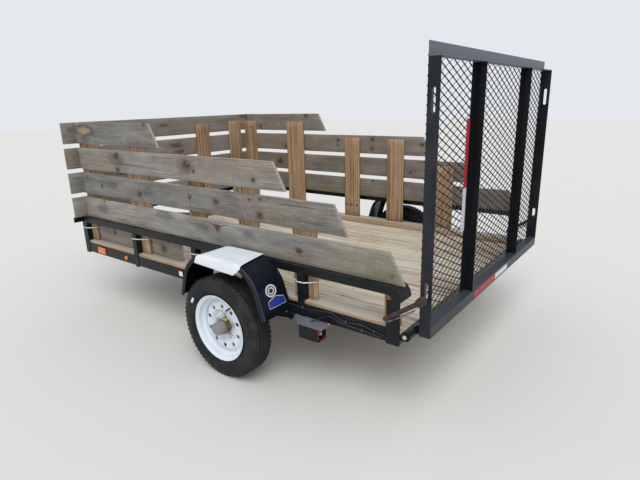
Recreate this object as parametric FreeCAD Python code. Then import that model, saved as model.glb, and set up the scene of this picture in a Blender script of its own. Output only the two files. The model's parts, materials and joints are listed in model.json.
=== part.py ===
import FreeCAD, Part
import math
import os

# A single-axle utility trailer with timber sides and an upright ramp gate.
# Sizes are in millimetres. The model is laid out along the bed: x runs forward from the rear
# posts' rear faces, y to the left and z up from the ground. On export everything moves back
# along x, so that the origin lies on the ground below the middle of the overall length.
os.makedirs("parts", exist_ok=True)
Vec = FreeCAD.Vector
X = Vec(1, 0, 0)
Y = Vec(0, 1, 0)
Z = Vec(0, 0, 1)

# Overall layout
bedLength = 2505.0
halfWidth = 832.0
frameBottom = 360.0
topRailTop = 619.0
seatGap = 0.3

# Steel sections
angleLeg = 38.1
angleWall = 3.2
railHeight = 63.5
railFlange = 50.8
railWall = 4.8
railLift = 8.0
hoopRadius = 60.0
hoopReach = 100.0
hoopFoot = 4.0
rearPostDepth = 64.0
frontPostDepth = 50.0
frontRailOverhang = 56.0

# Timber
boardHeight = 139.7
boardThickness = 19.0
boardGap = 27.0
boardInset = 22.0
floorThickness = 38.0
floorBoards = 9
floorJoint = 1.7
sillWidth = 89.0
sillHeight = 38.0
cutRun = 76.0
boardsPerWall = 4
boardPlay = 1.0
kickRear = 1490.0
crossPitch = 448.0

# Axle, springs and wheels
axleX = 915.0
axleRadius = 25.4
tyreDiameter = 536.0
tyreWidth = 124.0
wheelPlane = 962.0
rimDiameter = 350.0
rimWidth = 113.0
beadRadius = 160.0
rimSheet = 3.0
beadHalf = 45.0
bulgeRadius = 220.0
treadHalf = 42.0
lipDepth = 9.0
wellRadius = 144.0
wellTop = 29.0
wellSlope = 10.0
discSheet = 4.0
discFlat = 72.0
ridgeInner = 92.0
ridgeHeight = 17.0
ridgeOuter = 118.0
discEdge = 4.0
lugCircle = 114.3
lugCount = 5
studRadius = 6.0
studHoleRadius = 7.2
ventCount = 10
ventCircle = 212.0
ventRadius = 11.0
hubBore = 40.0
flangeRadius = 72.0
flangeDepth = 12.0
barrelDepth = 66.0
barrelFront = 34.0
capRadius = 33.0
capLength = 38.0
nutAcross = 23.0
nutHeight = 15.0
spindleRadius = 20.0
spindleLength = 65.0
spindlePlay = 4.0
runningFit = 0.05
springHalf = 320.0
springSag = 23.0
springWidth = 44.45
leafThickness = 7.0
eyeRadius = 14.0
eyeBore = 8.0
padHalf = 40.0
padWidth = 76.0
padHeight = 12.0
cheekWall = 5.0
cheekHalf = 18.0
cheekGap = 1.0
boltFit = 1.0
uBoltRadius = 6.0
uBoltSpread = 33.0
uBoltPlay = 0.9
uBoltLift = 0.5
clampHeight = 8.0
clampNutRadius = 10.0
clampNutHeight = 9.0

# Fenders
fenderX = 885.0
fenderWidth = 190.0
fenderTop = 639.0
fenderBottom = 391.0
fenderHalfBase = 300.0
fenderHalfTop = 222.0
fenderBend = 190.0
fenderSheet = 2.0
fenderLip = 22.0
fenderPadHalf = 18.0

# Tongue, coupler and jack
tongueAngle = 25.0
channelHeight = 76.2
channelFlange = 38.0
channelWall = 5.0
legTuck = 245.0
legFrontY = 70.0
tongueReach = 1135.0
neckLength = 160.0
neckHalf = 30.0
socketRadius = 25.9
throatDepth = 24.0
couplerNose = 42.0
couplerPlate = 8.0
couplerDepth = 56.0
couplerCrown = 14.0
couplerEdge = 20.0
plateTuck = 80.0
leverWidth = 22.0
leverLength = 70.0
leverHeight = 22.0
leverTail = 30.0
jackSetback = 310.0
jackTubeRadius = 28.6
jackTubeBore = 25.0
jackTubeLow = 250.0
jackTubeTop = 723.0
jackLegTop = 503.0
jackLegWall = 4.0
jackHeadHalf = 36.0
jackHeadHeight = 52.0
jackPlateHalf = 60.0
crankShaft = 60.0
crankShaftRadius = 8.0
crankThrow = 136.0
crankArm = 24.0
crankWall = 6.0
gripLength = 90.0
gripRadius = 13.0
footLength = 150.0
footWidth = 120.0
footWall = 6.0

# Ramp gate
gateSideGap = 30.0
gateFront = -73.0
gateLeg = 48.5
gateWall = 3.2
gateBottom = 418.0
gatePostTop = 1496.0
gateTopBarHeight = 52.0
gateMidY = (324.5, -382.0)
pinX = -26.0
pinZ = 412.0
pinRadius = 12.0
barrelRadius = 22.0
barrelEdge = 0.8
barrelLength = 58.0
earRadius = 18.0
earThickness = 10.0
earGap = 2.0
pinEnd = 7.0
slotWidth = 16.0
meshLong = 76.2
meshShort = 33.8
strandWidth = 3.6
strandThickness = 1.6
meshTuck = 4.0
meshRise = 20.0
meshPoke = 3.0

# Gate latches on the rear posts
latchGap = 9.0
latchWall = 6.0
latchPivotX = 66.0
latchPivotZ = 473.0
latchRise = 110.0
latchHalf = 10.0
knobReach = 18.0
knobRadius = 19.0
knobLength = 34.0

# Lamps, reflectors and markers
lampRear = 372.0
lampLength = 110.0
lampInnerGap = 10.0
lampWidth = 62.0
lampHeight = 66.0
lampWall = 3.0
lampRecess = 40.0
lensThickness = 6.0
lensRemnant = 22.0
shelfRear = 350.0
shelfFront = 560.0
shelfWall = 3.0
reflectorSetback = 255.0
reflectorLength = 88.0
reflectorHeight = 42.0
reflectorThickness = 7.0
markerX = 1994.0
markerRadius = 13.0
markerThickness = 9.0

# Derived heights and faces
railBottom = frameBottom + railLift
floorBottom = railBottom + railWall
floorTop = floorBottom + floorThickness
sillTop = floorTop + sillHeight
railFace = halfWidth - angleWall
railInner = railFace - railWall
flangeReach = railFace - railFlange
topRailBottom = topRailTop - angleLeg
boardOuter = halfWidth - boardInset
stakeOuter = boardOuter - boardThickness
stakeInner = stakeOuter - boardThickness
frontBoardRear = bedLength - angleLeg
wheelRadius = tyreDiameter / 2
gateHalfWidth = halfWidth - gateSideGap
gateRear = gateFront - gateLeg
barrelInner = railFace - barrelLength - barrelEdge
couplerX = bedLength + tongueReach
legRearX = bedLength - legTuck
legFrontX = couplerX - neckLength
jackX = couplerX - jackSetback
couplerTip = couplerX + couplerNose
exportShift = Vec(-(couplerTip + gateRear) / 2, 0, 0)

nodes = {}


def box(x, y, z):
    """A block from the two values along each axis, in either order."""
    low = Vec(min(x), min(y), min(z))
    return Part.makeBox(abs(x[1] - x[0]), abs(y[1] - y[0]), abs(z[1] - z[0]), low)


def rod(start, direction, length, radius):
    return Part.makeCylinder(radius, length, start, direction)


def prism(points, direction):
    """A closed flat outline pushed along a direction."""
    return Part.Face(Part.makePolygon(points + [points[0]])).extrude(direction)


def fuse(shapes):
    joined = shapes[0]
    for shape in shapes[1:]:
        joined = joined.fuse(shape)
    return joined.removeSplitter()


def angleBar(start, end, legA, legB, wall):
    """An angle section along its outer corner line, with each leg as a vector."""
    inA = Vec(legA).normalize() * wall
    inB = Vec(legB).normalize() * wall
    outline = [Vec(0, 0, 0), legA, legA + inB, inA + inB, legB + inA, legB]
    return prism([start + p for p in outline], end - start)


def mirrored(shape):
    return shape.mirror(Vec(0, 0, 0), Y)


def keep(name, *solids):
    nodes[name] = solids[0] if len(solids) == 1 else Part.makeCompound(list(solids))


def keepPair(name, *solids):
    keep(name + "_left", *solids)
    keep(name + "_right", *[mirrored(s) for s in solids])


def revolved(outline, centre):
    """An outline of (radius, offset along y) pairs turned about the wheel's axis."""
    points = [centre + Vec(r, y, 0) for r, y in outline]
    face = Part.Face(Part.makePolygon(points + [points[0]]))
    return face.revolve(centre, Y, 360)


# Lower frame: angle rails on edge, flange inward, with the floor lying on the flanges
def sideRail():
    start = Vec(railWall, railFace, railBottom)
    end = Vec(bedLength - railWall, railFace, railBottom)
    return angleBar(start, end, Z * railHeight, Y * -railFlange, railWall)


def frontRail():
    leg = box((bedLength - railWall, bedLength), (-railFace, railFace),
              (railBottom, railBottom + railHeight))
    flange = box((bedLength - railFlange, bedLength), (-flangeReach, flangeReach),
                 (railBottom, floorBottom))
    return fuse([leg, flange])


def rearRail():
    leg = box((0, railWall), (-railFace, railFace), (railBottom, floorTop))
    flange = box((0, railFlange), (-flangeReach, flangeReach), (railBottom, floorBottom))
    shapes = [leg, flange]
    for side in (1, -1):
        middle = side * (barrelInner + barrelLength / 2)
        low = Vec(pinX, middle - barrelLength / 2, pinZ)
        pad = box((pinX, 0), (low.y, low.y + barrelLength), (pinZ - barrelRadius, floorTop))
        shapes += [rod(low, Y, barrelLength, barrelRadius), pad]
    body = fuse(shapes)
    for side in (1, -1):
        low = side * (barrelInner + barrelLength / 2) - barrelLength / 2
        body = body.cut(rod(Vec(pinX, low, pinZ), Y, barrelLength, pinRadius + runningFit))
    return body


keepPair("side_rail", sideRail())
keep("front_rail", frontRail())
keep("rear_rail", rearRail())

# One cross member at each pitch; the tongue's legs end against the last one
crossCount = int(bedLength // crossPitch)
crossMembers = []
for i in range(crossCount):
    x = crossPitch * (i + 1)
    crossMembers.append(angleBar(
        Vec(x, -flangeReach, floorBottom), Vec(x, flangeReach, floorBottom),
        Z * -angleLeg, X * angleLeg, angleWall))
keep("cross_members", *crossMembers)


# Upper frame: a bent angle on each side makes the top rail and the rear post
def sideHoop():
    frontEnd = bedLength - angleWall - angleLeg
    bendCentre = Vec(hoopRadius, halfWidth, topRailTop - hoopRadius)
    towardsCorner = Vec(-1, 0, 1).normalize()

    def band(depth, low):
        """Outline between the outer path and one that is a leg or a wall further in."""
        inner = hoopRadius - depth
        outerBend = Part.Arc(bendCentre - X * hoopRadius, bendCentre + towardsCorner * hoopRadius,
                             bendCentre + Z * hoopRadius)
        innerBend = Part.Arc(bendCentre + Z * inner, bendCentre + towardsCorner * inner,
                             bendCentre - X * inner)
        outerFoot = Vec(0, halfWidth, low)
        innerFoot = Vec(depth, halfWidth, low)
        outerEnd = Vec(frontEnd, halfWidth, topRailTop)
        innerEnd = Vec(frontEnd, halfWidth, topRailTop - depth)
        edges = [
            Part.LineSegment(outerFoot, bendCentre - X * hoopRadius),
            outerBend,
            Part.LineSegment(bendCentre + Z * hoopRadius, outerEnd),
            Part.LineSegment(outerEnd, innerEnd),
            Part.LineSegment(innerEnd, bendCentre + Z * inner),
            innerBend,
            Part.LineSegment(bendCentre - X * inner, innerFoot),
            Part.LineSegment(innerFoot, outerFoot),
        ]
        return Part.Face(Part.Wire([e.toShape() for e in edges]))

    bendLow = topRailTop - hoopRadius
    plate = band(angleLeg, frameBottom).extrude(Y * -angleWall)
    post = box((0, rearPostDepth), (railFace, halfWidth), (frameBottom, bendLow))
    shell = band(angleWall, bendLow - hoopFoot)
    flange = shell.extrude(Y * -angleLeg)
    corner = shell.extrude(Y * -hoopReach).common(
        box((0, hoopRadius), (halfWidth - hoopReach, halfWidth), (bendLow - hoopFoot, topRailTop)))
    return fuse([plate, post, flange, corner])


keepPair("side_hoop", sideHoop())

frontPostX = bedLength - angleWall
uprightX = (524.0, 900.0, 1300.0, 1878.0)


def upright(rearX, top):
    """Outer leg lapped over the lower rail, inner leg coped above the sill."""
    outer = box((rearX, rearX + angleLeg), (railFace, halfWidth), (frameBottom, top))
    inner = box((rearX, rearX + angleWall), (halfWidth - angleLeg, halfWidth), (sillTop, top))
    return fuse([outer, inner])


def frontPost():
    """As an upright, with a wider outer leg whose front part reaches up past the hoop's end."""
    rear = frontPostX - frontPostDepth
    outer = box((rear, frontPostX), (railFace, halfWidth), (frameBottom, topRailBottom))
    head = box((frontPostX - angleLeg, frontPostX), (railFace, halfWidth),
               (topRailBottom, topRailTop - angleWall))
    inner = box((rear, rear + angleWall), (halfWidth - angleLeg, halfWidth), (sillTop, topRailBottom))
    return fuse([outer, head, inner])


posts = [upright(x - angleLeg / 2, topRailBottom) for x in uprightX]
keepPair("uprights", *(posts + [frontPost()]))

frontReach = halfWidth + frontRailOverhang
keep("front_top_rail", angleBar(
    Vec(bedLength, -frontReach, topRailTop), Vec(bedLength, frontReach, topRailTop),
    Z * -angleLeg, X * -angleLeg, angleWall))

# Floor boards and sills
floorPitch = 2 * railInner / floorBoards
floor = []
for i in range(floorBoards):
    low = -railInner + i * floorPitch + floorJoint / 2
    floor.append(box((railWall + boardPlay, bedLength - railWall - boardPlay),
                     (low, low + floorPitch - floorJoint), (floorBottom, floorTop)))
keep("floor_deck", *floor)
sillOuter = railInner - boardPlay / 2
keepPair("sill", box((angleLeg + boardPlay, bedLength - railWall - boardPlay),
                     (sillOuter - sillWidth, sillOuter), (floorTop, sillTop)))

# Stakes: flat boards behind the uprights. Columns: rear edge, front edge, foot, top height
stakesLeft = (
    (63.0, 98.0, sillTop, 703.0),
    (456.0, 596.0, sillTop, 891.0),
    (820.0, 960.0, sillTop, 1069.0),
    (1213.0, 1353.0, sillTop, 1071.0),
    (1712.0, 1780.0, topRailTop, 1150.0),
    (1782.0, 1922.0, sillTop, 1191.0),
    (2397.0, frontBoardRear - boardThickness, sillTop, 1199.0),
)
stakesRight = (
    (445.0, 585.0, sillTop, 891.0),
    (833.0, 973.0, sillTop, 1069.0),
    (1219.0, 1359.0, sillTop, 1071.0),
    (1777.0, 1961.0, sillTop, 1191.0),
    (2327.0, frontBoardRear, sillTop, 1199.0),
)


def stakeRow(table, side):
    return [box((rear, front), (side * stakeInner, side * stakeOuter), (foot, top))
            for rear, front, foot, top in table]


keep("stakes_left", *stakeRow(stakesLeft, 1))
keep("stakes_right", *stakeRow(stakesRight, -1))

# Columns: middle along y, bottom height, top height
frontStakes = ((719.0, sillTop, 1203.0), (-270.0, floorTop, 1189.0), (-640.0, floorTop, 1205.0))
keep("stakes_front", *[
    box((frontBoardRear - boardThickness, frontBoardRear), (y - boardHeight / 2, y + boardHeight / 2),
        (low, top)) for y, low, top in frontStakes])


# Board walls: four boards high, the side ones cut on a slope and stepped down to the rear
def boardLow(k):
    return topRailTop + k * (boardHeight + boardGap)


def sideBoard(k, cutX):
    z = boardLow(k)
    outline = [Vec(cutX, boardOuter, z + boardHeight), Vec(frontBoardRear, boardOuter, z + boardHeight),
               Vec(frontBoardRear, boardOuter, z), Vec(cutX - cutRun, boardOuter, z)]
    return prism(outline, Y * -boardThickness)


sideCuts = (70.0, 345.0, 690.0, 1632.0)
keepPair("planks", *[sideBoard(k, x) for k, x in enumerate(sideCuts)])
keep("planks_front", *[
    box((frontBoardRear, frontBoardRear + boardThickness), (-frontReach, frontReach),
        (boardLow(k), boardLow(k) + boardHeight)) for k in range(boardsPerWall)])
# One more board stands on the left sill behind the stakes
keep("kick_board", box((kickRear, frontBoardRear - boardThickness), (stakeInner - boardThickness, stakeInner),
                       (sillTop, sillTop + boardHeight)))


# Fenders: bent sheet with a flat top, sloped ends and a turned-down lip along the outer edge
def fenderProfile(inset):
    """Outline in the xz plane, from the rear bottom over the top to the front bottom."""
    slope = math.atan2(fenderTop - fenderBottom, fenderHalfBase - fenderHalfTop)
    half = fenderHalfBase - inset / math.sin(slope)
    top = fenderTop - inset
    corner = half - (top - fenderBottom) / math.tan(slope)
    radius = fenderBend - inset
    run = radius * math.tan(slope / 2)
    lows = []
    slopeEnds = []
    topEnds = []
    middles = []
    for side in (-1, 1):
        rise = Vec(-side * math.cos(slope), 0, math.sin(slope))
        peak = Vec(fenderX + side * corner, 0, top)
        centre = Vec(peak.x - side * run, 0, top - radius)
        lows.append(Vec(fenderX + side * half, 0, fenderBottom))
        slopeEnds.append(peak - rise * run)
        topEnds.append(peak - X * (side * run))
        middles.append(centre + (peak - centre).normalize() * radius)
    edges = [Part.LineSegment(lows[0], slopeEnds[0]),
             Part.Arc(slopeEnds[0], middles[0], topEnds[0]),
             Part.LineSegment(topEnds[0], topEnds[1]),
             Part.Arc(topEnds[1], middles[1], slopeEnds[1]),
             Part.LineSegment(slopeEnds[1], lows[1])]
    return [e.toShape() for e in edges], lows[0], lows[1]


def fenderBand(inset):
    outer, outerR, outerF = fenderProfile(0)
    inner, innerR, innerF = fenderProfile(inset)
    closing = [Part.makeLine(outerF, innerF), Part.makeLine(outerR, innerR)]
    return Part.Face(Part.Wire(Part.__sortEdges__(outer + inner + closing)))


def fender():
    skin = fenderBand(fenderSheet).extrude(Y * fenderWidth)
    lip = fenderBand(fenderLip).extrude(Y * fenderSheet)
    outerLip = lip.copy()
    outerLip.translate(Y * (fenderWidth - fenderSheet))
    pads = []
    for side in (1, -1):
        middle = fenderX + side * (fenderHalfBase - fenderLip)
        pads.append(box((middle - fenderPadHalf, middle + fenderPadHalf), (-angleWall, fenderSheet),
                        (fenderBottom, railBottom + railHeight)))
    shape = fuse([skin, lip, outerLip] + pads)
    shape.translate(Y * halfWidth)
    return shape


keepPair("fender", fender())

# Axle with a pad, two U-bolts and a clamp plate at each spring
leafShares = (1.0, 0.68, 0.4)
springY = railFace - railFlange / 2
springBottom = wheelRadius + axleRadius + padHeight / 3
packHeight = len(leafShares) * leafThickness
uBoltOffset = springWidth / 2 + uBoltRadius + uBoltPlay


def axle():
    hubBack = wheelPlane - barrelDepth - spindlePlay
    shapes = [rod(Vec(axleX, -hubBack, wheelRadius), Y, 2 * hubBack, axleRadius)]
    for side in (1, -1):
        middle = side * springY
        shapes.append(box((axleX - padHalf, axleX + padHalf), (middle - padWidth / 2, middle + padWidth / 2),
                          (springBottom - padHeight, springBottom)))
        shapes.append(rod(Vec(axleX, side * hubBack, wheelRadius), Y * side, spindleLength, spindleRadius))
        clampLow = springBottom + packHeight + uBoltLift
        shapes.append(box((axleX - padHalf, axleX + padHalf), (middle - padWidth / 2, middle + padWidth / 2),
                          (clampLow, clampLow + clampHeight)))
        for y in (middle - uBoltOffset, middle + uBoltOffset):
            shapes += uBolt(y, clampLow + clampHeight)
    return fuse(shapes)


def uBolt(y, top):
    """A rod bent square under the axle, its two legs up through pad and clamp to their nuts."""
    low = wheelRadius - axleRadius - uBoltRadius - seatGap
    shapes = [rod(Vec(axleX - uBoltSpread, y, low), X, 2 * uBoltSpread, uBoltRadius - seatGap)]
    for x in (axleX - uBoltSpread, axleX + uBoltSpread):
        leg = Vec(x, y, low - uBoltRadius)
        shapes.append(rod(leg, Z, top + clampNutHeight + uBoltRadius - leg.z, uBoltRadius))
        shapes.append(rod(Vec(x, y, top), Z, clampNutHeight, clampNutRadius))
    return shapes


keep("axle", axle())


def leafSpring():
    """Three stacked leaves curved up towards an eye at each end."""
    radius = (springHalf ** 2 + springSag ** 2) / (2 * springSag)
    top = springBottom + packHeight
    centre = Vec(axleX, 0, top + radius)

    def at(r, x):
        return centre + Vec(x, 0, -math.sqrt(r * r - x * x))

    leaves = []
    for i, share in enumerate(leafShares):
        half = share * springHalf
        inner = radius + i * leafThickness
        outer = inner + leafThickness
        edges = [Part.Arc(at(inner, -half), at(inner, 0), at(inner, half)).toShape(),
                 Part.makeLine(at(inner, half), at(outer, half)),
                 Part.Arc(at(outer, half), at(outer, 0), at(outer, -half)).toShape(),
                 Part.makeLine(at(outer, -half), at(inner, -half))]
        leaves.append(Part.Face(Part.Wire(edges)).extrude(Y * springWidth))
    spots = [at(radius + leafThickness, side * springHalf) + Z * eyeRadius for side in (1, -1)]
    spring = fuse(leaves + [rod(spot, Y, springWidth, eyeRadius) for spot in spots])
    for spot in spots:
        spring = spring.cut(rod(spot, Y, springWidth, eyeBore))
    spring.translate(Y * (springY - springWidth / 2))
    return spring, spots[0].z


spring, eyeZ = leafSpring()
keepPair("leaf_spring", spring)


def hanger(x):
    """Two cheeks under the rail's flange, with the bolt that holds the spring's eye."""
    inner = springWidth / 2 + cheekGap
    outer = inner + cheekWall
    shapes = [box((x - cheekHalf, x + cheekHalf), (springY - outer, springY + outer),
                  (railBottom - cheekWall, railBottom))]
    for low in (springY - outer, springY + inner):
        shapes.append(box((x - cheekHalf, x + cheekHalf), (low, low + cheekWall), (eyeZ, railBottom)))
        shapes.append(rod(Vec(x, low, eyeZ), Y, cheekWall, cheekHalf))
    shapes.append(rod(Vec(x, springY - outer, eyeZ), Y, 2 * outer, eyeBore - boltFit))
    return fuse(shapes)


keepPair("spring_hangers", hanger(axleX - springHalf), hanger(axleX + springHalf))

# Tongue: two channels from under the side rails to the coupler
legRise = Vec(legFrontX - legRearX, -(legFrontX - legRearX) * math.tan(math.radians(tongueAngle)), 0)


def tongueLeg():
    length = legRise.Length
    outline = [Vec(0, 0, 0), Vec(0, -channelFlange, 0), Vec(0, -channelFlange, channelWall),
               Vec(0, -channelWall, channelWall), Vec(0, -channelWall, channelHeight - channelWall),
               Vec(0, -channelFlange, channelHeight - channelWall), Vec(0, -channelFlange, channelHeight),
               Vec(0, 0, channelHeight)]
    leg = prism(outline, X * length)
    leg.rotate(Vec(0, 0, 0), Z, -tongueAngle)
    leg.translate(Vec(legRearX, legFrontY - legRise.y + channelFlange / 2, railBottom - channelHeight))
    return leg


keepPair("tongue_leg", tongueLeg())


def legMiddle(x):
    """Distance of a tongue leg's centre line from the middle at a place along the trailer."""
    return legFrontY + (legFrontX - x) * math.tan(math.radians(tongueAngle))


def coupler():
    """Plate over the two legs, a neck and a round nose with the ball socket."""
    rear = legFrontX - plateTuck
    top = railBottom + couplerPlate
    low = railBottom - couplerDepth
    corners = [(rear, legMiddle(rear) + couplerEdge), (legFrontX, legFrontY + couplerEdge),
               (couplerX, neckHalf)]
    outline = [Vec(x, y, railBottom) for x, y in corners]
    outline += [Vec(x, -y, railBottom) for x, y in reversed(corners)]
    plate = prism(outline, Z * couplerPlate)
    spine = box((legFrontX - couplerEdge, couplerX), (-neckHalf, neckHalf), (low, top))
    nose = rod(Vec(couplerX, 0, low), Z, top - low, couplerNose)
    crown = Part.makeSphere(couplerNose, Vec(couplerX, 0, top)).common(
        rod(Vec(couplerX, 0, top), Z, couplerCrown, couplerNose))
    body = fuse([plate, spine, nose, crown])
    socket = Part.makeSphere(socketRadius, Vec(couplerX, 0, low + throatDepth))
    throat = rod(Vec(couplerX, 0, low), Z, throatDepth, socketRadius)
    return body.cut(socket).cut(throat)


def couplerLatch():
    """A lever lying along the neck, its tail turned up at the rear."""
    top = railBottom + couplerPlate
    front = couplerX - couplerNose - couplerEdge
    rear = front - leverLength
    side = (-leverWidth / 2, leverWidth / 2)
    return fuse([box((rear, front), side, (top, top + leverHeight)),
                 box((rear - leverTail / 2, rear + leverTail / 2), side,
                     (top + leverHeight / 2, top + leverTail))])


keep("coupler", coupler())
keep("coupler_latch", couplerLatch())


# Jack: outer tube on a plate across the tongue, geared head with crank, sliding leg with foot
def jackTube():
    reach = legMiddle(jackX) + channelFlange / 2
    plate = box((jackX - jackPlateHalf, jackX + jackPlateHalf), (-reach, reach),
                (railBottom, railBottom + couplerPlate))
    tube = rod(Vec(jackX, 0, jackTubeLow), Z, jackTubeTop - jackTubeLow, jackTubeRadius)
    head = box((jackX - jackHeadHalf, jackX + jackHeadHalf), (-jackHeadHalf, jackHeadHalf),
               (jackTubeTop, jackTubeTop + jackHeadHeight))
    body = fuse([plate, tube, head])
    bore = rod(Vec(jackX, 0, jackTubeLow), Z, jackTubeTop - jackTubeLow - jackLegWall, jackTubeBore)
    return body.cut(bore)


def jackCrank():
    shaft = Vec(jackX, jackHeadHalf, jackTubeTop + jackHeadHeight / 2)
    armStart = shaft + Y * crankShaft
    gripStart = armStart + Y * crankWall - Z * crankThrow
    arm = box((jackX - crankArm / 2, jackX + crankArm / 2), (armStart.y, gripStart.y),
              (gripStart.z, armStart.z))
    shapes = [rod(shaft, Y, crankShaft, crankShaftRadius), arm, rod(gripStart, Y, gripLength, gripRadius)]
    for end in (armStart, gripStart - Y * crankWall):
        shapes.append(rod(end, Y, crankWall, crankArm / 2))
    return fuse(shapes)


def jackLeg():
    outer = jackTubeBore - runningFit
    leg = rod(Vec(jackX, 0, footWall), Z, jackLegTop - footWall, outer)
    hollow = rod(Vec(jackX, 0, footWall), Z, jackLegTop - footWall, outer - jackLegWall)
    foot = box((jackX - footLength / 2, jackX + footLength / 2), (-footWidth / 2, footWidth / 2),
               (0, footWall))
    return fuse([leg.cut(hollow), foot])


keep("jack_tube", jackTube())
keep("jack_crank", jackCrank())
keep("jack_leg", jackLeg())


# Tail lamps under the side rails behind the fenders, on a plate bent out from the flange
lampTop = railBottom - shelfWall
lampLow = lampTop - lampHeight
lampInner = halfWidth + lampInnerGap
lampOuter = lampInner + lampWidth


def lampHousing():
    """The plate's front corner is cut off, and it is notched round the upright beside it."""
    corners = [(shelfRear, flangeReach + railFlange / 2), (shelfFront, flangeReach + railFlange / 2),
               (shelfFront, halfWidth + lampInnerGap), (lampRear + lampLength, lampOuter + lampWall),
               (shelfRear, lampOuter + lampWall)]
    shelf = prism([Vec(x, y, lampTop) for x, y in corners], Z * shelfWall)
    notchRear = uprightX[0] - angleLeg / 2 - seatGap
    notch = box((notchRear, notchRear + angleLeg + 2 * seatGap),
                (railFace - seatGap, halfWidth + seatGap), (lampTop, railBottom))
    case = box((lampRear, lampRear + lampLength), (lampInner, lampOuter), (lampLow, lampTop))
    recess = box((lampRear, lampRear + lampRecess), (lampInner + lampWall, lampOuter - lampWall),
                 (lampLow + lampWall, lampTop - lampWall))
    return fuse([shelf.cut(notch), case]).cut(recess)


def lampLens():
    inset = lampWall + seatGap
    return box((lampRear, lampRear + lensThickness), (lampInner + inset, lampOuter - inset),
               (lampLow + inset, lampTop - inset))


keepPair("tail_lamp", lampHousing())
keep("tail_lens_right", mirrored(lampLens()))
keep("tail_lens_left", lampLens().common(
    box((lampRear, lampRear + lensThickness), (lampOuter - lensRemnant, lampOuter),
        (lampTop - lampHeight / 2, lampTop))))

# Amber reflector and small round marker on each lower rail
markerZ = railBottom + railHeight / 2
reflectorX = bedLength - reflectorSetback
keepPair("markers",
         box((reflectorX, reflectorX + reflectorLength), (railFace, railFace + reflectorThickness),
             (markerZ - reflectorHeight / 2, markerZ + reflectorHeight / 2)),
         rod(Vec(markerX, railFace, markerZ), Y, markerThickness, markerRadius))


# Latch on each rear post: a flat link with a round knob beside the gate's post
def gateLatch():
    pivot = Vec(latchPivotX, halfWidth, latchPivotZ)
    knob = Vec(gateFront - knobReach, halfWidth, latchPivotZ + latchRise)
    across = (knob - pivot).cross(Y).normalize() * latchHalf
    link = prism([pivot - across, pivot + across, knob + across, knob - across], Y * latchWall)
    inner = Vec(knob.x, gateHalfWidth + latchGap, knob.z)
    return fuse([link, rod(pivot, Y, latchWall, latchHalf), rod(inner, Y, knobLength, knobRadius)])


keepPair("gate_latch", gateLatch())


# Ramp gate: angle posts, bottom and top bars, expanded mesh on the front faces, hinge ears
# Columns: low and high end of each latch slot
latchSlots = ((1301.0, 1393.0), (575.0, 657.0))


def gatePost(side):
    """A slotted web across the trailer's length, and a leg on the gate's front face."""
    y = side * gateHalfWidth
    wall = (y, y - side * gateWall)
    web = box((gateRear, gateFront), wall, (gateBottom, gatePostTop))
    middle = (gateFront + gateRear) / 2
    round = slotWidth / 2
    for low, high in latchSlots:
        web = web.cut(box((middle - round, middle + round), wall, (low + round, high - round)))
        for end in (low + round, high - round):
            web = web.cut(rod(Vec(middle, min(wall), end), Y, gateWall, round))
    leg = box((gateFront - gateWall, gateFront), (y, y - side * gateLeg),
              (gateBottom + gateLeg, gatePostTop))
    return fuse([web, leg])


def midPost(y):
    """A web across the gate's depth, and a leg to its left on the front face."""
    height = (gateBottom + gateLeg, gatePostTop)
    web = box((gateRear + gateWall, gateFront), (y - gateWall / 2, y + gateWall / 2), height)
    leg = box((gateFront - gateWall, gateFront), (y, y + gateLeg), height)
    return fuse([web, leg])


def hingeEar(side):
    """A plate from the bottom bar down to a lug, with the pin that turns in the barrel."""
    outer = side * (barrelInner - earGap)
    low = min(outer, outer - side * earThickness)
    lug = rod(Vec(pinX, low, pinZ), Y, earThickness, earRadius)
    plate = prism([Vec(pinX, low, pinZ - earRadius), Vec(pinX, low, pinZ + earRadius),
                   Vec(gateFront, low, gateBottom + gateLeg - gateWall),
                   Vec(gateRear + gateWall, low, gateBottom + gateLeg - gateWall),
                   Vec(gateRear + gateWall, low, gateBottom), Vec(gateFront, low, gateBottom)],
                  Y * earThickness)
    pin = rod(Vec(pinX, outer - side * earThickness / 2, pinZ), Y * side,
              earThickness / 2 + earGap + barrelLength + pinEnd, pinRadius)
    return fuse([lug, plate, pin])


inside = gateHalfWidth - gateWall
barCorner = Vec(gateRear, 0, gateBottom + gateLeg)
bottomBar = angleBar(barCorner - Y * inside, barCorner + Y * inside, Z * -gateLeg, X * gateLeg, gateWall)
topCorner = Vec(gateFront, 0, gatePostTop)
keep("gate_hinges", hingeEar(1), hingeEar(-1))
keep("gate_frame", fuse([gatePost(1), gatePost(-1), bottomBar]))
keep("gate_mid_posts", *[midPost(y) for y in gateMidY])
keep("gate_top_bar", angleBar(topCorner - Y * gateHalfWidth, topCorner + Y * gateHalfWidth,
                              Z * gateTopBarHeight, X * -gateLeg, gateWall))


def meshStrands():
    """Two crossed sets of flat strands, cut to the gate's outline."""
    low = gateBottom + gateLeg + meshTuck
    high = gatePostTop + meshRise
    reach = gateHalfWidth + meshPoke
    slope = math.atan2(meshShort, meshLong)
    overrun = 2 * reach * math.tan(slope)
    count = int((high - low + 2 * overrun) // meshShort) + 1
    strands = []
    for layer, tilt in enumerate((1, -1)):
        rear = gateFront + seatGap + layer * (strandThickness + seatGap)
        thick = (rear, rear + strandThickness)
        panel = box(thick, (-reach, reach), (low, high))
        for i in range(count):
            bar = box(thick, (-2 * reach, 2 * reach), (-strandWidth / 2, strandWidth / 2))
            bar.rotate(Vec(0, 0, 0), X, tilt * math.degrees(slope))
            bar.translate(Z * (low - overrun + i * meshShort))
            strands += bar.common(panel).Solids
    return strands


keep("gate_mesh", *meshStrands())


# Wheels: tyre, pressed rim with vent holes, hub with studs, nuts and a grease cap
wheelCentre = Vec(axleX, wheelPlane, wheelRadius)


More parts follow.
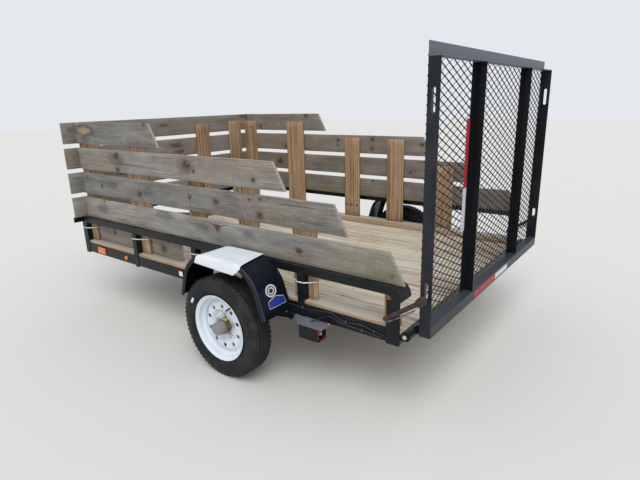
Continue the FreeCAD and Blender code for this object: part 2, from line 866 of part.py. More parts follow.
def tyre():
    half = tyreWidth / 2
    # Columns: radius and half width, from the bead to the tread
    section = [(beadRadius + seatGap, beadHalf), (bulgeRadius, half), (wheelRadius, treadHalf)]
    outline = section + [(r, -y) for r, y in reversed(section)]
    return revolved(outline, wheelCentre)


def lugSpots():
    """Centres of the wheel nuts' studs, one straight up."""
    spots = []
    for i in range(lugCount):
        angle = math.pi / 2 + 2 * math.pi * i / lugCount
        spots.append(wheelCentre + Vec(math.cos(angle), 0, math.sin(angle)) * (lugCircle / 2))
    return spots


def rim():
    """Rolled rim with a dropped middle, and a dished disc with vents around its shoulder."""
    lip = (rimDiameter / 2, rimWidth / 2)
    seat = lip[1] - lipDepth
    # Columns: radius and offset along the axle, down the outside of the sheet from the front lip
    outside = [lip, (beadRadius, seat), (beadRadius, wellTop), (wellRadius, wellTop - wellSlope),
               (wellRadius, -wellTop + 2 * wellSlope), (beadRadius, -wellTop), (beadRadius, -seat),
               (lip[0], -lip[1])]
    inside = [(r - rimSheet, y) for r, y in reversed(outside)]
    inner = wellRadius - rimSheet
    # The disc is flat at the bolts, and rises to a flat ring with the vents
    face = [(hubBore, 0), (discFlat, 0), (ridgeInner, ridgeHeight), (ridgeOuter, ridgeHeight),
            (inner, discEdge)]
    disc = face + [(r, y + discSheet) for r, y in reversed(face)]
    body = fuse([revolved(outside + inside, wheelCentre), revolved(disc, wheelCentre)])
    for i in range(ventCount):
        angle = 2 * math.pi * (i + 0.5) / ventCount
        spot = wheelCentre + Vec(math.cos(angle), 0, math.sin(angle)) * (ventCircle / 2)
        body = body.cut(rod(spot, Y, rimWidth, ventRadius))
    for spot in lugSpots():
        body = body.cut(rod(spot, Y, discSheet, studHoleRadius))
    return body


def hub():
    """Flange behind the disc, barrel bored for the spindle, nuts in front and a domed cap."""
    rear = wheelCentre - Y * barrelDepth
    front = wheelCentre + Y * barrelFront
    shapes = [rod(wheelCentre - Y * flangeDepth, Y, flangeDepth, flangeRadius),
              rod(rear, Y, barrelDepth + barrelFront, hubBore - seatGap),
              rod(front, Y, capLength, capRadius)]
    for spot in lugSpots():
        seat = spot + Y * discSheet
        shapes.append(rod(spot - Y * flangeDepth / 2, Y, flangeDepth / 2 + discSheet, studRadius))
        hexagon = [seat + Vec(math.cos(math.pi / 3 * k), 0, math.sin(math.pi / 3 * k)) * (nutAcross / 2)
                   for k in range(6)]
        shapes.append(prism(hexagon, Y * nutHeight))
    body = fuse(shapes)
    return body.cut(rod(rear, Y, barrelDepth, spindleRadius + runningFit))


keepPair("tyre", tyre())
keepPair("rim", rim())
keepPair("hub", hub())

total = 0
for name in sorted(nodes):
    shape = nodes[name].copy()
    shape.translate(exportShift)
    solids = shape.Solids
    bad = [s for s in solids if not s.isValid() or s.Volume <= 0]
    print(name, len(solids), "solids", "NOT VALID" if bad or not solids else "")
    total += len(solids)
    shape.exportStep("parts/" + name + ".step")
print(len(nodes), "nodes,", total, "solids, shift", round(exportShift.x, 2))
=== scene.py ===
import json
import math
import random

import bmesh
import bpy
from mathutils import Matrix, Vector, noise


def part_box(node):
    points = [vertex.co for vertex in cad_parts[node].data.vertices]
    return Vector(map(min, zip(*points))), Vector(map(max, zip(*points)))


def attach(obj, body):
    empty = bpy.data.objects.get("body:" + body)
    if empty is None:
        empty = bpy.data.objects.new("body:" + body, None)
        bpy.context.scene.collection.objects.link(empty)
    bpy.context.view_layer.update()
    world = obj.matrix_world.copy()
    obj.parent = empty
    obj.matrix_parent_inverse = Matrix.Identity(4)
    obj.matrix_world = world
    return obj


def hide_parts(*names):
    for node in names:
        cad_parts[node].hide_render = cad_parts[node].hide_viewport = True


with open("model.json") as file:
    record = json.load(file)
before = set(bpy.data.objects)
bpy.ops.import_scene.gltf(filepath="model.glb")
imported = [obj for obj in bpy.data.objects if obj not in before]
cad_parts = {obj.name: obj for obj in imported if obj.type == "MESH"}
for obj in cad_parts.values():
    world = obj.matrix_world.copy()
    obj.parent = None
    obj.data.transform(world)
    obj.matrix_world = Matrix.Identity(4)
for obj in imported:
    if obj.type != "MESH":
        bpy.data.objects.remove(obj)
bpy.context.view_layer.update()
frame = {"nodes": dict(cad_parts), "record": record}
nodes = frame["nodes"]
print("stage: frame loaded")


# Shader maths: a wire is a socket that can be used in an expression
class Wire:
    def __init__(self, socket):
        self.socket = socket
        self.tree = socket.id_data

    def add(self, kind, settings=None, values=None, output=0):
        node = self.tree.nodes.new("ShaderNode" + kind)
        for name, value in (settings or {}).items():
            if name == "stops":
                setStops(node.color_ramp, value)
            else:
                setattr(node, name, value)
        for name, value in (values or {}).items():
            if isinstance(value, Wire):
                self.tree.links.new(value.socket, node.inputs[name])
            else:
                node.inputs[name].default_value = value
        return Wire(node.outputs[output])

    def other(self, name):
        return Wire(self.socket.node.outputs[name])

    def math(self, operation, *values):
        return self.add("Math", {"operation": operation}, dict(enumerate(values)))

    def __add__(self, value):
        return self.math("ADD", self, value)

    def __radd__(self, value):
        return self.math("ADD", value, self)

    def __sub__(self, value):
        return self.math("SUBTRACT", self, value)

    def __rsub__(self, value):
        return self.math("SUBTRACT", value, self)

    def __mul__(self, value):
        return self.math("MULTIPLY", self, value)

    def __rmul__(self, value):
        return self.math("MULTIPLY", value, self)

    def sine(self):
        return self.math("SINE", self)

    def unsigned(self):
        return self.math("ABSOLUTE", self)

    def atMost(self, value):
        return self.math("MINIMUM", self, value)

    def atLeast(self, value):
        return self.math("MAXIMUM", self, value)

    def step(self, low, high):
        # 0 at low, 1 at high, smooth between; low may be the larger one
        return self.add("MapRange", {"interpolation_type": "SMOOTHSTEP"},
                        {"Value": self, "From Min": low, "From Max": high})

    def axis(self, name):
        return self.add("SeparateXYZ", values={0: self}).other(name)

    def scaled(self, stretch, shift=(0, 0, 0)):
        return self.add("Mapping", values={"Vector": self, "Scale": stretch, "Location": shift})

    def moved(self, y):
        step = self.add("CombineXYZ", values={"Y": y})
        return self.add("VectorMath", {"operation": "ADD"}, {0: self, 1: step})

    def distance(self, spot):
        return self.add("VectorMath", {"operation": "DISTANCE"}, {0: self, 1: spot}, 1)

    def noise(self, scale=1.0, detail=3.0, rough=0.55, stretch=(1, 1, 1), shift=(0, 0, 0)):
        values = {"Vector": self.scaled(stretch, shift), "Scale": scale, "Detail": detail,
                  "Roughness": rough}
        return self.add("TexNoise", values=values)

    def cells(self, scale):
        return self.add("TexVoronoi", values={"Vector": self, "Scale": scale})

    def ramp(self, stops):
        return self.add("ValToRGB", {"stops": stops}, {"Fac": self})

    def mix(self, first, second):
        # self is the share of the second colour
        return self.add("Mix", {"data_type": "RGBA"}, {0: self, 6: first, 7: second}, 2)

    def bump(self, distance, normal=None):
        values = {"Height": self, "Distance": distance}
        if normal:
            values["Normal"] = normal
        return self.add("Bump", values=values)


def setStops(ramp, stops):
    while len(ramp.elements) < len(stops):
        ramp.elements.new(1.0)
    for element, (place, colour) in zip(ramp.elements, stops):
        element.position = place
        element.color = colour


def rgb(red, green, blue):
    return (red, green, blue, 1.0)


def startMaterial(name):
    material = bpy.data.materials.new(name)
    material.use_nodes = True
    tree = material.node_tree
    tree.nodes.clear()
    coords = tree.nodes.new("ShaderNodeTexCoord")
    return material, Wire(coords.outputs["Object"])


def finishMaterial(material, place, values):
    shader = place.add("BsdfPrincipled", values=values)
    output = place.tree.nodes.new("ShaderNodeOutputMaterial")
    place.tree.links.new(shader.socket, output.inputs["Surface"])
    return material


def axes(place):
    return [place.axis(name) for name in "XYZ"]


def surfaceNormal(place):
    return place.add("NewGeometry").other("Normal")


def softEdge(place, radius):
    return place.add("Bevel", {"samples": 4}, {"Radius": radius})


# Paint on steel: dust that lies on upward faces, small chips with rust, a rounded look at edges
steelLook = {
    "black": rgb(0.0055, 0.0065, 0.0085),
    "navy": rgb(0.0045, 0.0065, 0.013),
    "grey": rgb(0.12, 0.14, 0.165),
    # corner: a lighter blue-black than the fender, a painted highlight for the fender's rolled lip
    "corner": rgb(0.03, 0.036, 0.046),
    "dust": rgb(0.105, 0.105, 0.10),
    "rust": rgb(0.12, 0.042, 0.015),
    "primer": rgb(0.05, 0.03, 0.02),
    "clouds": 5.0, "flecks": 230.0, "chips": 46.0,  # pattern scales
    "runs": (22, 22, 2.5),
    "chipFrom": 0.745, "chipFull": 0.775,
    "edge": 0.0022,
    "depth": 0.0006,
}


def paintedSteel(name, colour, dust=0.5, chips=0.0, gloss=0.28):
    material, place = startMaterial(name)
    look = steelLook
    up = surfaceNormal(place).axis("Z")
    cloud = place.noise(look["clouds"], 5.0, 0.6)
    fleck = place.noise(look["flecks"], 2.0)
    run = place.noise(1.0, 3.0, stretch=look["runs"], shift=(3, 1, 0))
    lying = (up.step(0.15, 1.0) * 0.6 + 0.06) * cloud.step(0.3, 0.72) * dust
    dusty = lying + run.step(0.6, 0.8) * 0.04
    chip = place.noise(look["chips"], 5.0, 0.72, shift=(5, 2, 9))
    chip = chip.step(look["chipFrom"] - chips, look["chipFull"] - chips)
    bared = place.noise(300.0, 2.0).step(0.4, 0.6).mix(look["rust"], look["primer"])
    height = place.noise(90.0, 2.0) * 0.25 + fleck * 0.1 - chip * 0.8
    return finishMaterial(material, place, {
        "Base Color": chip.mix(dusty.mix(colour, look["dust"]), bared),
        "Roughness": (gloss + dusty * 0.55 + chip * 0.5 + fleck * 0.06).atMost(0.95),
        "Specular IOR Level": 0.22,
        "Normal": height.bump(look["depth"], softEdge(place, look["edge"]))})


platingLook = {"clouds": 30.0, "rust": 17.0, "rustFrom": 0.72, "rustFull": 0.8, "grain": 400.0,
               "depth": 0.0003, "edge": 0.0012}


def barePlating(name, colour, rustShare=0.1, gloss=0.38):
    material, place = startMaterial(name)
    look = platingLook
    cloud = place.noise(look["clouds"], 4.0)
    rusty = place.noise(look["rust"], 5.0, 0.7, shift=(1, 4, 2))
    rusty = rusty.step(look["rustFrom"] - rustShare, look["rustFull"] - rustShare)
    tint = cloud.mix(colour, rgb(colour[0] * 0.6, colour[1] * 0.6, colour[2] * 0.62))
    return finishMaterial(material, place, {
        "Base Color": rusty.mix(tint, steelLook["rust"]),
        "Metallic": 1.0 - rusty * 0.9,
        "Roughness": (gloss + cloud * 0.2 + rusty * 0.4).atMost(0.95),
        "Normal": place.noise(look["grain"], 2.0).bump(look["depth"], softEdge(place, look["edge"]))})


rustLook = {
    "stops": [(0.3, rgb(0.010, 0.008, 0.008)), (0.5, rgb(0.040, 0.020, 0.016)),
              (0.68, rgb(0.095, 0.048, 0.034))],
    "clouds": 38.0, "depth": 0.0012, "edge": 0.0015,
}


def rustySteel(name):
    material, place = startMaterial(name)
    cloud = place.noise(rustLook["clouds"], 6.0, 0.7)
    return finishMaterial(material, place, {
        "Base Color": cloud.ramp(rustLook["stops"]), "Roughness": 0.55 + cloud * 0.35,
        "Normal": cloud.bump(rustLook["depth"], softEdge(place, rustLook["edge"]))})


# Timber: the attribute grain holds metres along, across and through each board, tone its own shade
knotSpots = (
    # x, y, z, radius: outer face of the left boards first, then the far and front ones inside
    (0.211, 0.81, 1.058, 0.030), (0.216, 0.81, 0.975, 0.020), (-0.460, 0.81, 1.045, 0.034),
    (-0.521, 0.81, 1.010, 0.011), (0.757, 0.81, 1.034, 0.050), (-0.116, 0.81, 1.250, 0.016),
    (0.429, 0.81, 0.853, 0.013), (0.003, 0.81, 0.839, 0.024), (-0.470, 0.81, 0.862, 0.012),
    (-0.684, 0.81, 0.859, 0.020), (-0.675, 0.81, 0.716, 0.022), (-0.963, 0.81, 0.996, 0.015),
    (-0.930, 0.81, 0.898, 0.008), (-1.005, 0.81, 0.905, 0.009), (-0.995, 0.81, 0.824, 0.020),
    (-1.238, 0.81, 0.686, 0.024), (-1.730, 0.81, 0.655, 0.014), (0.430, 0.81, 0.755, 0.010),
    (-0.023, -0.8, 1.242, 0.018), (0.500, -0.8, 1.153, 0.016), (-0.349, -0.8, 1.051, 0.014),
    (-0.348, -0.8, 1.011, 0.010), (-0.671, -0.8, 1.066, 0.020), (-0.667, -0.8, 0.995, 0.016),
    (0.207, -0.8, 0.985, 0.020), (-1.084, -0.8, 1.034, 0.016), (0.278, -0.8, 0.854, 0.036),
    (-0.999, -0.8, 0.831, 0.014), (-0.678, -0.8, 0.744, 0.010), (0.690, -0.756, 1.242, 0.020),
    (0.690, -0.007, 1.043, 0.024), (0.690, -0.029, 0.988, 0.018), (0.690, 0.5, 0.88, 0.02),
    (0.690, 0.1, 1.20, 0.016), (-0.12, 0.762, 0.50, 0.024), (0.42, 0.762, 0.53, 0.018),
)
darkPatches = (
    # x, y, z, radius: weathering that darkens part of a board
    (0.21, 0.81, 1.03, 0.060), (-0.22, 0.81, 0.735, 0.055), (-0.46, 0.81, 1.025, 0.050),
    (0.30, 0.81, 0.87, 0.040), (-0.10, 0.81, 0.86, 0.050), (-0.56, 0.81, 0.71, 0.050),
    (0.46, 0.81, 0.70, 0.050), (-0.90, 0.81, 0.72, 0.036), (0.60, 0.81, 0.90, 0.045),
    (0.56, 0.81, 1.15, 0.040), (-0.016, -0.8, 0.959, 0.050), (-0.161, -0.8, 0.84, 0.045),
    (0.62, -0.8, 1.05, 0.050), (0.40, -0.8, 1.22, 0.045), (-0.60, -0.8, 0.90, 0.040),
    (0.69, 0.30, 1.05, 0.060), (0.69, -0.40, 0.90, 0.060), (0.69, -0.55, 1.20, 0.050),
)

spotLook = {"through": 0.3, "shrink": 1.25, "edges": 34.0}  # through: squeeze of the y axis
arcLook = {"fullTurn": 6.283, "slow": (1.9, 13, 13)}


def nearSpots(place, spots, squeeze=0.8, ragged=2.0):
    # how far the nearest spot is, as a share of its own size
    through = spotLook["through"]
    flat = place.scaled((squeeze, through, 1.0))
    nearest = None
    for x, y, z, radius in spots:
        share = flat.distance((x * squeeze, y * through, z)) * (1 / radius)
        nearest = nearest.atMost(share) if nearest else share
    edges = place.noise(spotLook["edges"], 4.0, 0.65) - 0.5
    return nearest * spotLook["shrink"] + edges * ragged


def growthArcs(grain, across, pitch, bend=24.0):
    # dark late wood as long arcs: a wave across the board, bent by slow noise along it
    slow = grain.noise(1.0, 2.0, 0.5, arcLook["slow"], (7, 7, 0))
    return (across * (arcLook["fullTurn"] / pitch) + slow * bend).sine().step(0.25, 1.0)


def startTimber(name):
    material, place = startMaterial(name)
    grain = place.add("Attribute", {"attribute_name": "grain"}).other("Vector")
    tone = place.add("Attribute", {"attribute_name": "tone"}).other("Fac")
    return material, place, grain, tone


greyLook = {
    "dark": rgb(0.115, 0.105, 0.092), "mid": rgb(0.245, 0.228, 0.198), "light": rgb(0.41, 0.385, 0.34),
    "brown": rgb(0.19, 0.145, 0.105), "blue": rgb(0.185, 0.20, 0.205), "knot": rgb(0.045, 0.033, 0.026),
    "stain": rgb(0.135, 0.09, 0.06), "algae": rgb(0.16, 0.19, 0.075), "fresh": rgb(0.40, 0.27, 0.11),
    "patch": rgb(0.085, 0.08, 0.075), "mark": rgb(0.10, 0.055, 0.035), "cut": rgb(0.47, 0.44, 0.38),
    "arcPitch": 0.013, "depth": 0.0016,
    # how far each pattern is drawn out along, across and through a board
    "streaks": (2.6, 95, 95), "fine": (14, 620, 620), "blotches": (5, 16, 16), "broad": (1.3, 5, 5),
    "saw": (330, 7, 7), "cracks": (1.7, 190, 190),
}
# marks on the near face: a scribed line, an upright run, and the broken patch on the top board
markLook = {"lineZ": 1.006, "lineSlope": 0.022, "runX": -0.47, "gash": (0.555, 0.81, 1.207),
            "gashSqueeze": (0.27, 0.3, 1.0)}


def faceMarks(place, blotch):
    x, y, z = axes(place)
    line = z - x * markLook["lineSlope"] - markLook["lineZ"] + (blotch - 0.5) * 0.02
    line = line.unsigned().step(0.0045, 0.0010) * x.step(-0.27, -0.20) * x.step(0.54, 0.48)
    run = (x - markLook["runX"] + (place.noise(19.0, 3.0) - 0.5) * 0.035).unsigned()
    run = run.step(0.0042, 0.0012) * z.step(0.786, 0.80) * z.step(0.907, 0.90)
    return (line * 0.7 + run) * y.step(0.80, 0.805)


def greenGrowth(place, grain):
    # on the lower rear ends, and along the far boards' lowest edge
    x, y, z = axes(place)
    rear = (z - x * 0.25).step(1.22, 1.06) * x.step(-1.30, -1.78) * y.step(0.5, 0.6)
    far = z.step(0.665, 0.622) * y.step(-0.5, -0.6)
    return (rear * 0.7 + far * 0.9) * grain.noise(1.0, 4.0, 0.6, (18, 26, 26)).step(0.32, 0.62)


def brokenPatch(place):
    # distance from the patch at the top left board's front end
    squeeze = markLook["gashSqueeze"]
    spot = [a * b for a, b in zip(markLook["gash"], squeeze)]
    return place.scaled(squeeze).distance(spot) + (place.noise(28.0, 4.0) - 0.5) * 0.03


def weatheredBoards():
    material, place, grain, tone = startTimber("weatheredBoards")
    look = greyLook
    x, y, z = axes(place)
    knot = nearSpots(place, knotSpots)
    wave = grain.noise(1.0, 2.0, stretch=(3.0, 14, 14)) - 0.5
    lines = grain.moved(wave * 0.02 + knot.step(3.2, 0.8) * 0.012)
    streak = lines.noise(1.0, 6.0, 0.62, look["streaks"])
    fine = lines.noise(1.0, 3.0, 0.6, look["fine"])
    blotch = grain.noise(1.0, 4.0, 0.6, look["blotches"], (2, 0, 1))
    broad = grain.noise(1.0, 2.0, 0.5, look["broad"], (9, 2, 0))
    arcs = growthArcs(grain, lines.axis("Y"), look["arcPitch"])
    saw = grain.noise(1.0, 2.0, 0.5, look["saw"]).step(0.46, 0.66)
    crack = lines.noise(1.0, 2.0, 0.5, look["cracks"], (4, 4, 4)).step(0.70, 0.74)
    # The boards' own grey, warmer or bluer in broad clouds, with late wood and dark patches
    level = streak * 0.42 + fine * 0.24 + blotch * 0.55 + tone * 0.14 - 0.165
    tint = level.ramp([(0.36, look["dark"]), (0.53, look["mid"]), (0.70, look["light"])])
    tint = ((broad + tone * 0.22).step(0.55, 0.78) * 0.5).mix(tint, look["brown"])
    tint = (broad.step(0.50, 0.32) * 0.45).mix(tint, look["blue"])
    tint = (arcs * (0.14 + streak * 0.3)).mix(tint, look["dark"])
    patch = nearSpots(place, darkPatches, 0.45, 1.6)
    tint = (patch.step(1.2, 0.2) * 0.6).mix(tint, look["patch"])
    inner = y.step(0.77, 0.74) * z.step(0.60, 0.64)
    tint = (inner * 0.4).mix(tint, look["brown"])
    tint = (faceMarks(place, blotch) * 0.75).mix(tint, look["mark"])
    tint = (saw * 0.07).mix(tint, look["light"])
    # Knots in a stain, ringed, then cracks
    tint = (knot.step(2.6, 0.9) * blotch.step(0.35, 0.6) * 0.7).mix(tint, look["stain"])
    ring = ((knot * 9.0).sine().step(-1.0, 1.0) * 0.45).mix(look["knot"], look["stain"])
    tint = (knot.step(1.25, 0.4) * 0.9).mix(tint, ring)
    tint = (crack * 0.85).mix(tint, look["knot"])
    tint = greenGrowth(place, grain).atMost(0.85).mix(tint, look["algae"])
    gash = brokenPatch(place)
    tint = (gash.step(0.026, 0.010) * 0.6).mix(tint, look["fresh"])
    rim = gash.step(0.022, 0.028) * gash.step(0.038, 0.031)
    tint = (rim * 0.5).mix(tint, look["knot"])
    # Cut ends and top edges are paler than the faces
    face = surfaceNormal(place)
    cutEnd = face.axis("X").unsigned().step(0.5, 0.8) * x.step(0.69, 0.68)
    pale = (cutEnd * 0.55 + face.axis("Z").step(0.6, 0.95) * 0.35) * fine.step(0.2, 0.6)
    height = streak * 0.5 + fine * 0.35 + saw * 0.06 - crack * 1.2 - knot.step(1.2, 0.9) * 0.3 - rim * 0.8
    return finishMaterial(material, place, {
        "Base Color": pale.mix(tint, look["cut"]), "Roughness": 0.82 + fine * 0.12,
        "Specular IOR Level": 0.25, "Normal": height.bump(look["depth"])})


treatedLook = {
    "dark": rgb(0.105, 0.055, 0.026), "mid": rgb(0.275, 0.155, 0.072), "light": rgb(0.43, 0.28, 0.15),
    "grey": rgb(0.40, 0.36, 0.30), "arcPitch": 0.016, "arcBend": 15.0, "knots": 7.0, "depth": 0.0011,
}


def treatedTimber(name, stripe, greyTop, wear):
    # stripe: how close the grain lies; greyTop and wear: how grey its upper faces and all of it are
    material, place, grain, tone = startTimber(name)
    look = treatedLook
    wave = grain.noise(1.0, 2.0, stretch=(2.2, 9, 9)) - 0.5
    lines = grain.moved(wave * 0.022)
    broad = lines.noise(1.0, 2.0, 0.5, (0.9, stripe, stripe))
    fine = lines.noise(1.0, 4.0, 0.6, (7, stripe * 4.5, stripe * 4.5))
    blotch = grain.noise(1.0, 3.0, 0.6, (4, 12, 12), (3, 7, 0))
    arcs = growthArcs(grain, lines.axis("Y"), look["arcPitch"], look["arcBend"])
    level = broad * 0.75 + fine * 0.25 + (blotch - 0.5) * 0.2 + (tone - 0.5) * 0.12 - arcs * 0.06 + 0.015
    tint = level.ramp([(0.37, look["dark"]), (0.46, look["mid"]), (0.60, look["light"])])
    worn = surfaceNormal(place).axis("Z").step(0.5, 0.9) * greyTop + blotch.step(0.4, 0.8) * 0.25 + wear
    tint = worn.atMost(0.95).mix(tint, look["grey"])
    knot = grain.scaled((1.0, 1.0, 0.25)).cells(look["knots"]).step(0.085, 0.045)
    tint = (knot * blotch.step(0.50, 0.56) * 0.8).mix(tint, look["dark"])
    return finishMaterial(material, place, {
        "Base Color": tint, "Roughness": 0.72 + fine * 0.15, "Specular IOR Level": 0.3,
        "Normal": (broad * 0.5 + fine * 0.5).bump(look["depth"])})


floorLook = {
    "dark": rgb(0.25, 0.185, 0.12), "mid": rgb(0.52, 0.44, 0.335), "light": rgb(0.70, 0.64, 0.53),
    "grey": rgb(0.42, 0.40, 0.36), "arcPitch": 0.022, "depth": 0.0013,
    "streaks": (1.4, 60, 60), "fine": (9, 420, 420), "blotches": (3, 7, 7),
}


def floorTimber():
    material, place, grain, tone = startTimber("floorTimber")
    look = floorLook
    wave = grain.noise(1.0, 2.0, stretch=(1.6, 7, 7)) - 0.5
    lines = grain.moved(wave * 0.05)
    streak = lines.noise(1.0, 5.0, 0.6, look["streaks"])
    fine = lines.noise(1.0, 3.0, 0.6, look["fine"])
    blotch = grain.noise(1.0, 4.0, 0.6, look["blotches"], (5, 1, 0))
    arcs = growthArcs(grain, lines.axis("Y"), look["arcPitch"])
    level = streak * 0.68 + fine * 0.22 + blotch * 0.25 + (tone - 0.5) * 0.1 - arcs * 0.05 - 0.03
    tint = level.ramp([(0.38, look["dark"]), (0.50, look["mid"]), (0.64, look["light"])])
    return finishMaterial(material, place, {
        "Base Color": (blotch.step(0.5, 0.75) * 0.5).mix(tint, look["grey"]), "Roughness": 0.8,
        "Specular IOR Level": 0.25, "Normal": (streak * 0.6 + fine * 0.4).bump(look["depth"])})


# Wheels: colours follow the distance from the axle's line
wheelSize = {"x": -0.86525, "y": 0.962, "z": 0.268}
tyreColours = {"rubber": rgb(0.0095, 0.0105, 0.012), "dust": rgb(0.11, 0.105, 0.095)}
rimLook = {
    "white": rgb(0.73, 0.79, 0.84), "shaded": rgb(0.63, 0.69, 0.74), "grime": rgb(0.33, 0.29, 0.24),
    # inside: near black behind the disc, painted shade seen through the vents together with dirt on the
    # inner side
    "inside": rgb(0.035, 0.032, 0.03), "run": (60, 60, 9), "depth": 0.0003, "edge": 0.002,
}
hubLook = {
    "stops": [(0.35, rgb(0.045, 0.028, 0.014)), (0.5, rgb(0.12, 0.075, 0.035)),
              (0.68, rgb(0.26, 0.17, 0.09))],
    "cap": rgb(0.34, 0.33, 0.32), "capShaded": rgb(0.22, 0.21, 0.20), "nuts": rgb(0.62, 0.62, 0.63),
    "depth": 0.0009, "edge": 0.002,
}


def wheelRadiusWire(place):
    level = place.add("CombineXYZ", values={"X": place.axis("X"), "Z": place.axis("Z")})
    return level.distance((wheelSize["x"], 0, wheelSize["z"]))


def tyreRubber():
    material, place = startMaterial("tyreRubber")
    radius = wheelRadiusWire(place)
    cloud = place.noise(16.0, 4.0)
    speck = place.noise(260.0, 3.0)
    dusty = cloud.step(0.4, 0.75) * 0.2 + radius.step(0.235, 0.268) * 0.06 + speck.step(0.6, 0.8) * 0.08
    ribs = (radius * 2600.0).sine() * radius.step(0.18, 0.19) * radius.step(0.246, 0.236)
    return finishMaterial(material, place, {
        "Base Color": dusty.atMost(0.6).mix(tyreColours["rubber"], tyreColours["dust"]),
        "Roughness": 0.6 + dusty * 0.4, "Specular IOR Level": 0.25,
        "Normal": (ribs * 0.16 + speck * 0.25).bump(0.0008)})


def whiteRim():
    material, place = startMaterial("whiteRim")
    look = rimLook
    radius = wheelRadiusWire(place)
    cloud = place.noise(11.0, 4.0)
    grime = place.noise(60.0, 4.0, 0.7).step(0.6, 0.8) * 0.4 + radius.step(0.070, 0.044) * 0.35
    run = place.noise(1.0, 3.0, stretch=look["run"]).step(0.66, 0.8) * 0.35
    tint = cloud.mix(look["white"], look["shaded"])
    tint = (grime + run).atMost(0.8).mix(tint, look["grime"])
    # the barrel behind the disc is near black: painted shade seen through the vents, together with dirt on
    # the inner side
    inside = place.axis("Y").unsigned().step(0.957, 0.951)
    return finishMaterial(material, place, {
        "Base Color": (inside * 0.93).mix(tint, look["inside"]), "Roughness": 0.28 + grime * 0.5,
        "Specular IOR Level": 0.5,
        "Normal": place.noise(120.0, 2.0).bump(look["depth"], softEdge(place, look["edge"]))})


def hubCasting():
    material, place = startMaterial("hubCasting")
    look = hubLook
    radius = wheelRadiusWire(place)
    y = place.axis("Y").unsigned()
    cloud = place.noise(70.0, 5.0, 0.7)
    cap = y.step(0.994, 0.998)
    nuts = radius.step(0.043, 0.0445) * y.step(0.963, 0.965)
    tint = cap.mix(cloud.ramp(look["stops"]), cloud.mix(look["cap"], look["capShaded"]))
    return finishMaterial(material, place, {
        "Base Color": nuts.mix(tint, look["nuts"]), "Metallic": nuts * 0.95 + cap * 0.35,
        "Roughness": 0.75 - nuts * 0.5 - cap * 0.2 + cloud * 0.1,
        "Normal": cloud.bump(look["depth"], softEdge(place, look["edge"]))})


lampLook = {
    "case": rgb(0.006, 0.007, 0.008), "caseWorn": rgb(0.014, 0.014, 0.014),
    "plate": rgb(0.10, 0.115, 0.14), "plateDusty": rgb(0.17, 0.18, 0.20),
    "lensRibs": 900.0, "lensDepth": 0.0006,
}


def lampCase():
    # The plate on top is a dusty grey blue, the case below it black
    material, place = startMaterial("lampCase")
    cloud = place.noise(14.0, 4.0)
    case = cloud.mix(lampLook["case"], lampLook["caseWorn"])
    plate = cloud.mix(lampLook["plate"], lampLook["plateDusty"])
    return finishMaterial(material, place, {
        "Base Color": place.axis("Z").step(0.362, 0.3645).mix(case, plate),
        "Roughness": 0.5 + cloud * 0.25, "Specular IOR Level": 0.25,
        "Normal": place.noise(200.0, 3.0).bump(0.0006, softEdge(place, 0.0015))})


def lens(name, colour, deep):
    material, place = startMaterial(name)
    ribs = [(place.axis(axis) * lampLook["lensRibs"]).sine() for axis in "XZ"]
    cloud = place.noise(40.0, 3.0)
    return finishMaterial(material, place, {
        "Base Color": cloud.mix(colour, deep), "Roughness": 0.16 + cloud * 0.15,
        "Coat Weight": 0.5, "Normal": (ribs[0] * ribs[1]).bump(lampLook["lensDepth"])})


glossLook = {"clouds": 24.0, "dirt": rgb(0.22, 0.20, 0.17)}


def plainGloss(name, colour, roughness=0.4, grain=180.0, depth=0.0004, dirt=0.2):
    material, place = startMaterial(name)
    dirty = place.noise(glossLook["clouds"], 4.0).step(0.45, 0.8) * dirt
    return finishMaterial(material, place, {
        "Base Color": dirty.mix(colour, glossLook["dirt"]), "Roughness": roughness + dirty * 0.5,
        "Normal": place.noise(grain, 2.0).bump(depth)})


tapeColours = {
    "red": rgb(0.40, 0.008, 0.018), "redDeep": rgb(0.25, 0.005, 0.012),
    "white": rgb(0.62, 0.63, 0.66), "whiteDeep": rgb(0.45, 0.46, 0.50),
    "barWhite": rgb(0.60, 0.61, 0.64),
}
tapeCells = 260.0  # scale of the cells in reflective tape


def tapeFilm(name, colour, deep):
    material, place = startMaterial(name)
    cell = place.cells(tapeCells)
    cloud = place.noise(20.0, 3.0)
    return finishMaterial(material, place, {
        "Base Color": (cell.step(0.2, 0.6) * 0.35 + cloud.step(0.5, 0.8) * 0.3).mix(colour, deep),
        "Roughness": 0.3 + cloud * 0.2, "Coat Weight": 0.3, "Normal": cell.bump(0.0003)})


# Finishes by the record's slots, then those that only some pieces have
finishes = {
    "black_paint": paintedSteel("blackSteel", steelLook["black"], dust=0.55, chips=0.02),
    "grey_paint": paintedSteel("greySteel", steelLook["grey"], dust=0.9, chips=0.03, gloss=0.42),
    "zinc": barePlating("zincPlate", rgb(0.56, 0.57, 0.58)),
    "weathered_boards": weatheredBoards(),
    "treated_timber": treatedTimber("stakeTimber", stripe=120.0, greyTop=0.35, wear=0.06),
    "floor_timber": floorTimber(),
    "tyre": tyreRubber(),
    "white_rim": whiteRim(),
    "hub_steel": hubCasting(),
    "lamp_case": lampCase(),
    "red_lens": lens("redLens", rgb(0.42, 0.012, 0.014), rgb(0.28, 0.008, 0.01)),
    "amber_lens": lens("amberLens", rgb(0.85, 0.21, 0.012), rgb(0.70, 0.15, 0.01)),
}
sillTimber = treatedTimber("sillTimber", stripe=60.0, greyTop=0.75, wear=0.22)
fenderPaint = paintedSteel("fenderPaint", steelLook["navy"], dust=0.12, gloss=0.2)
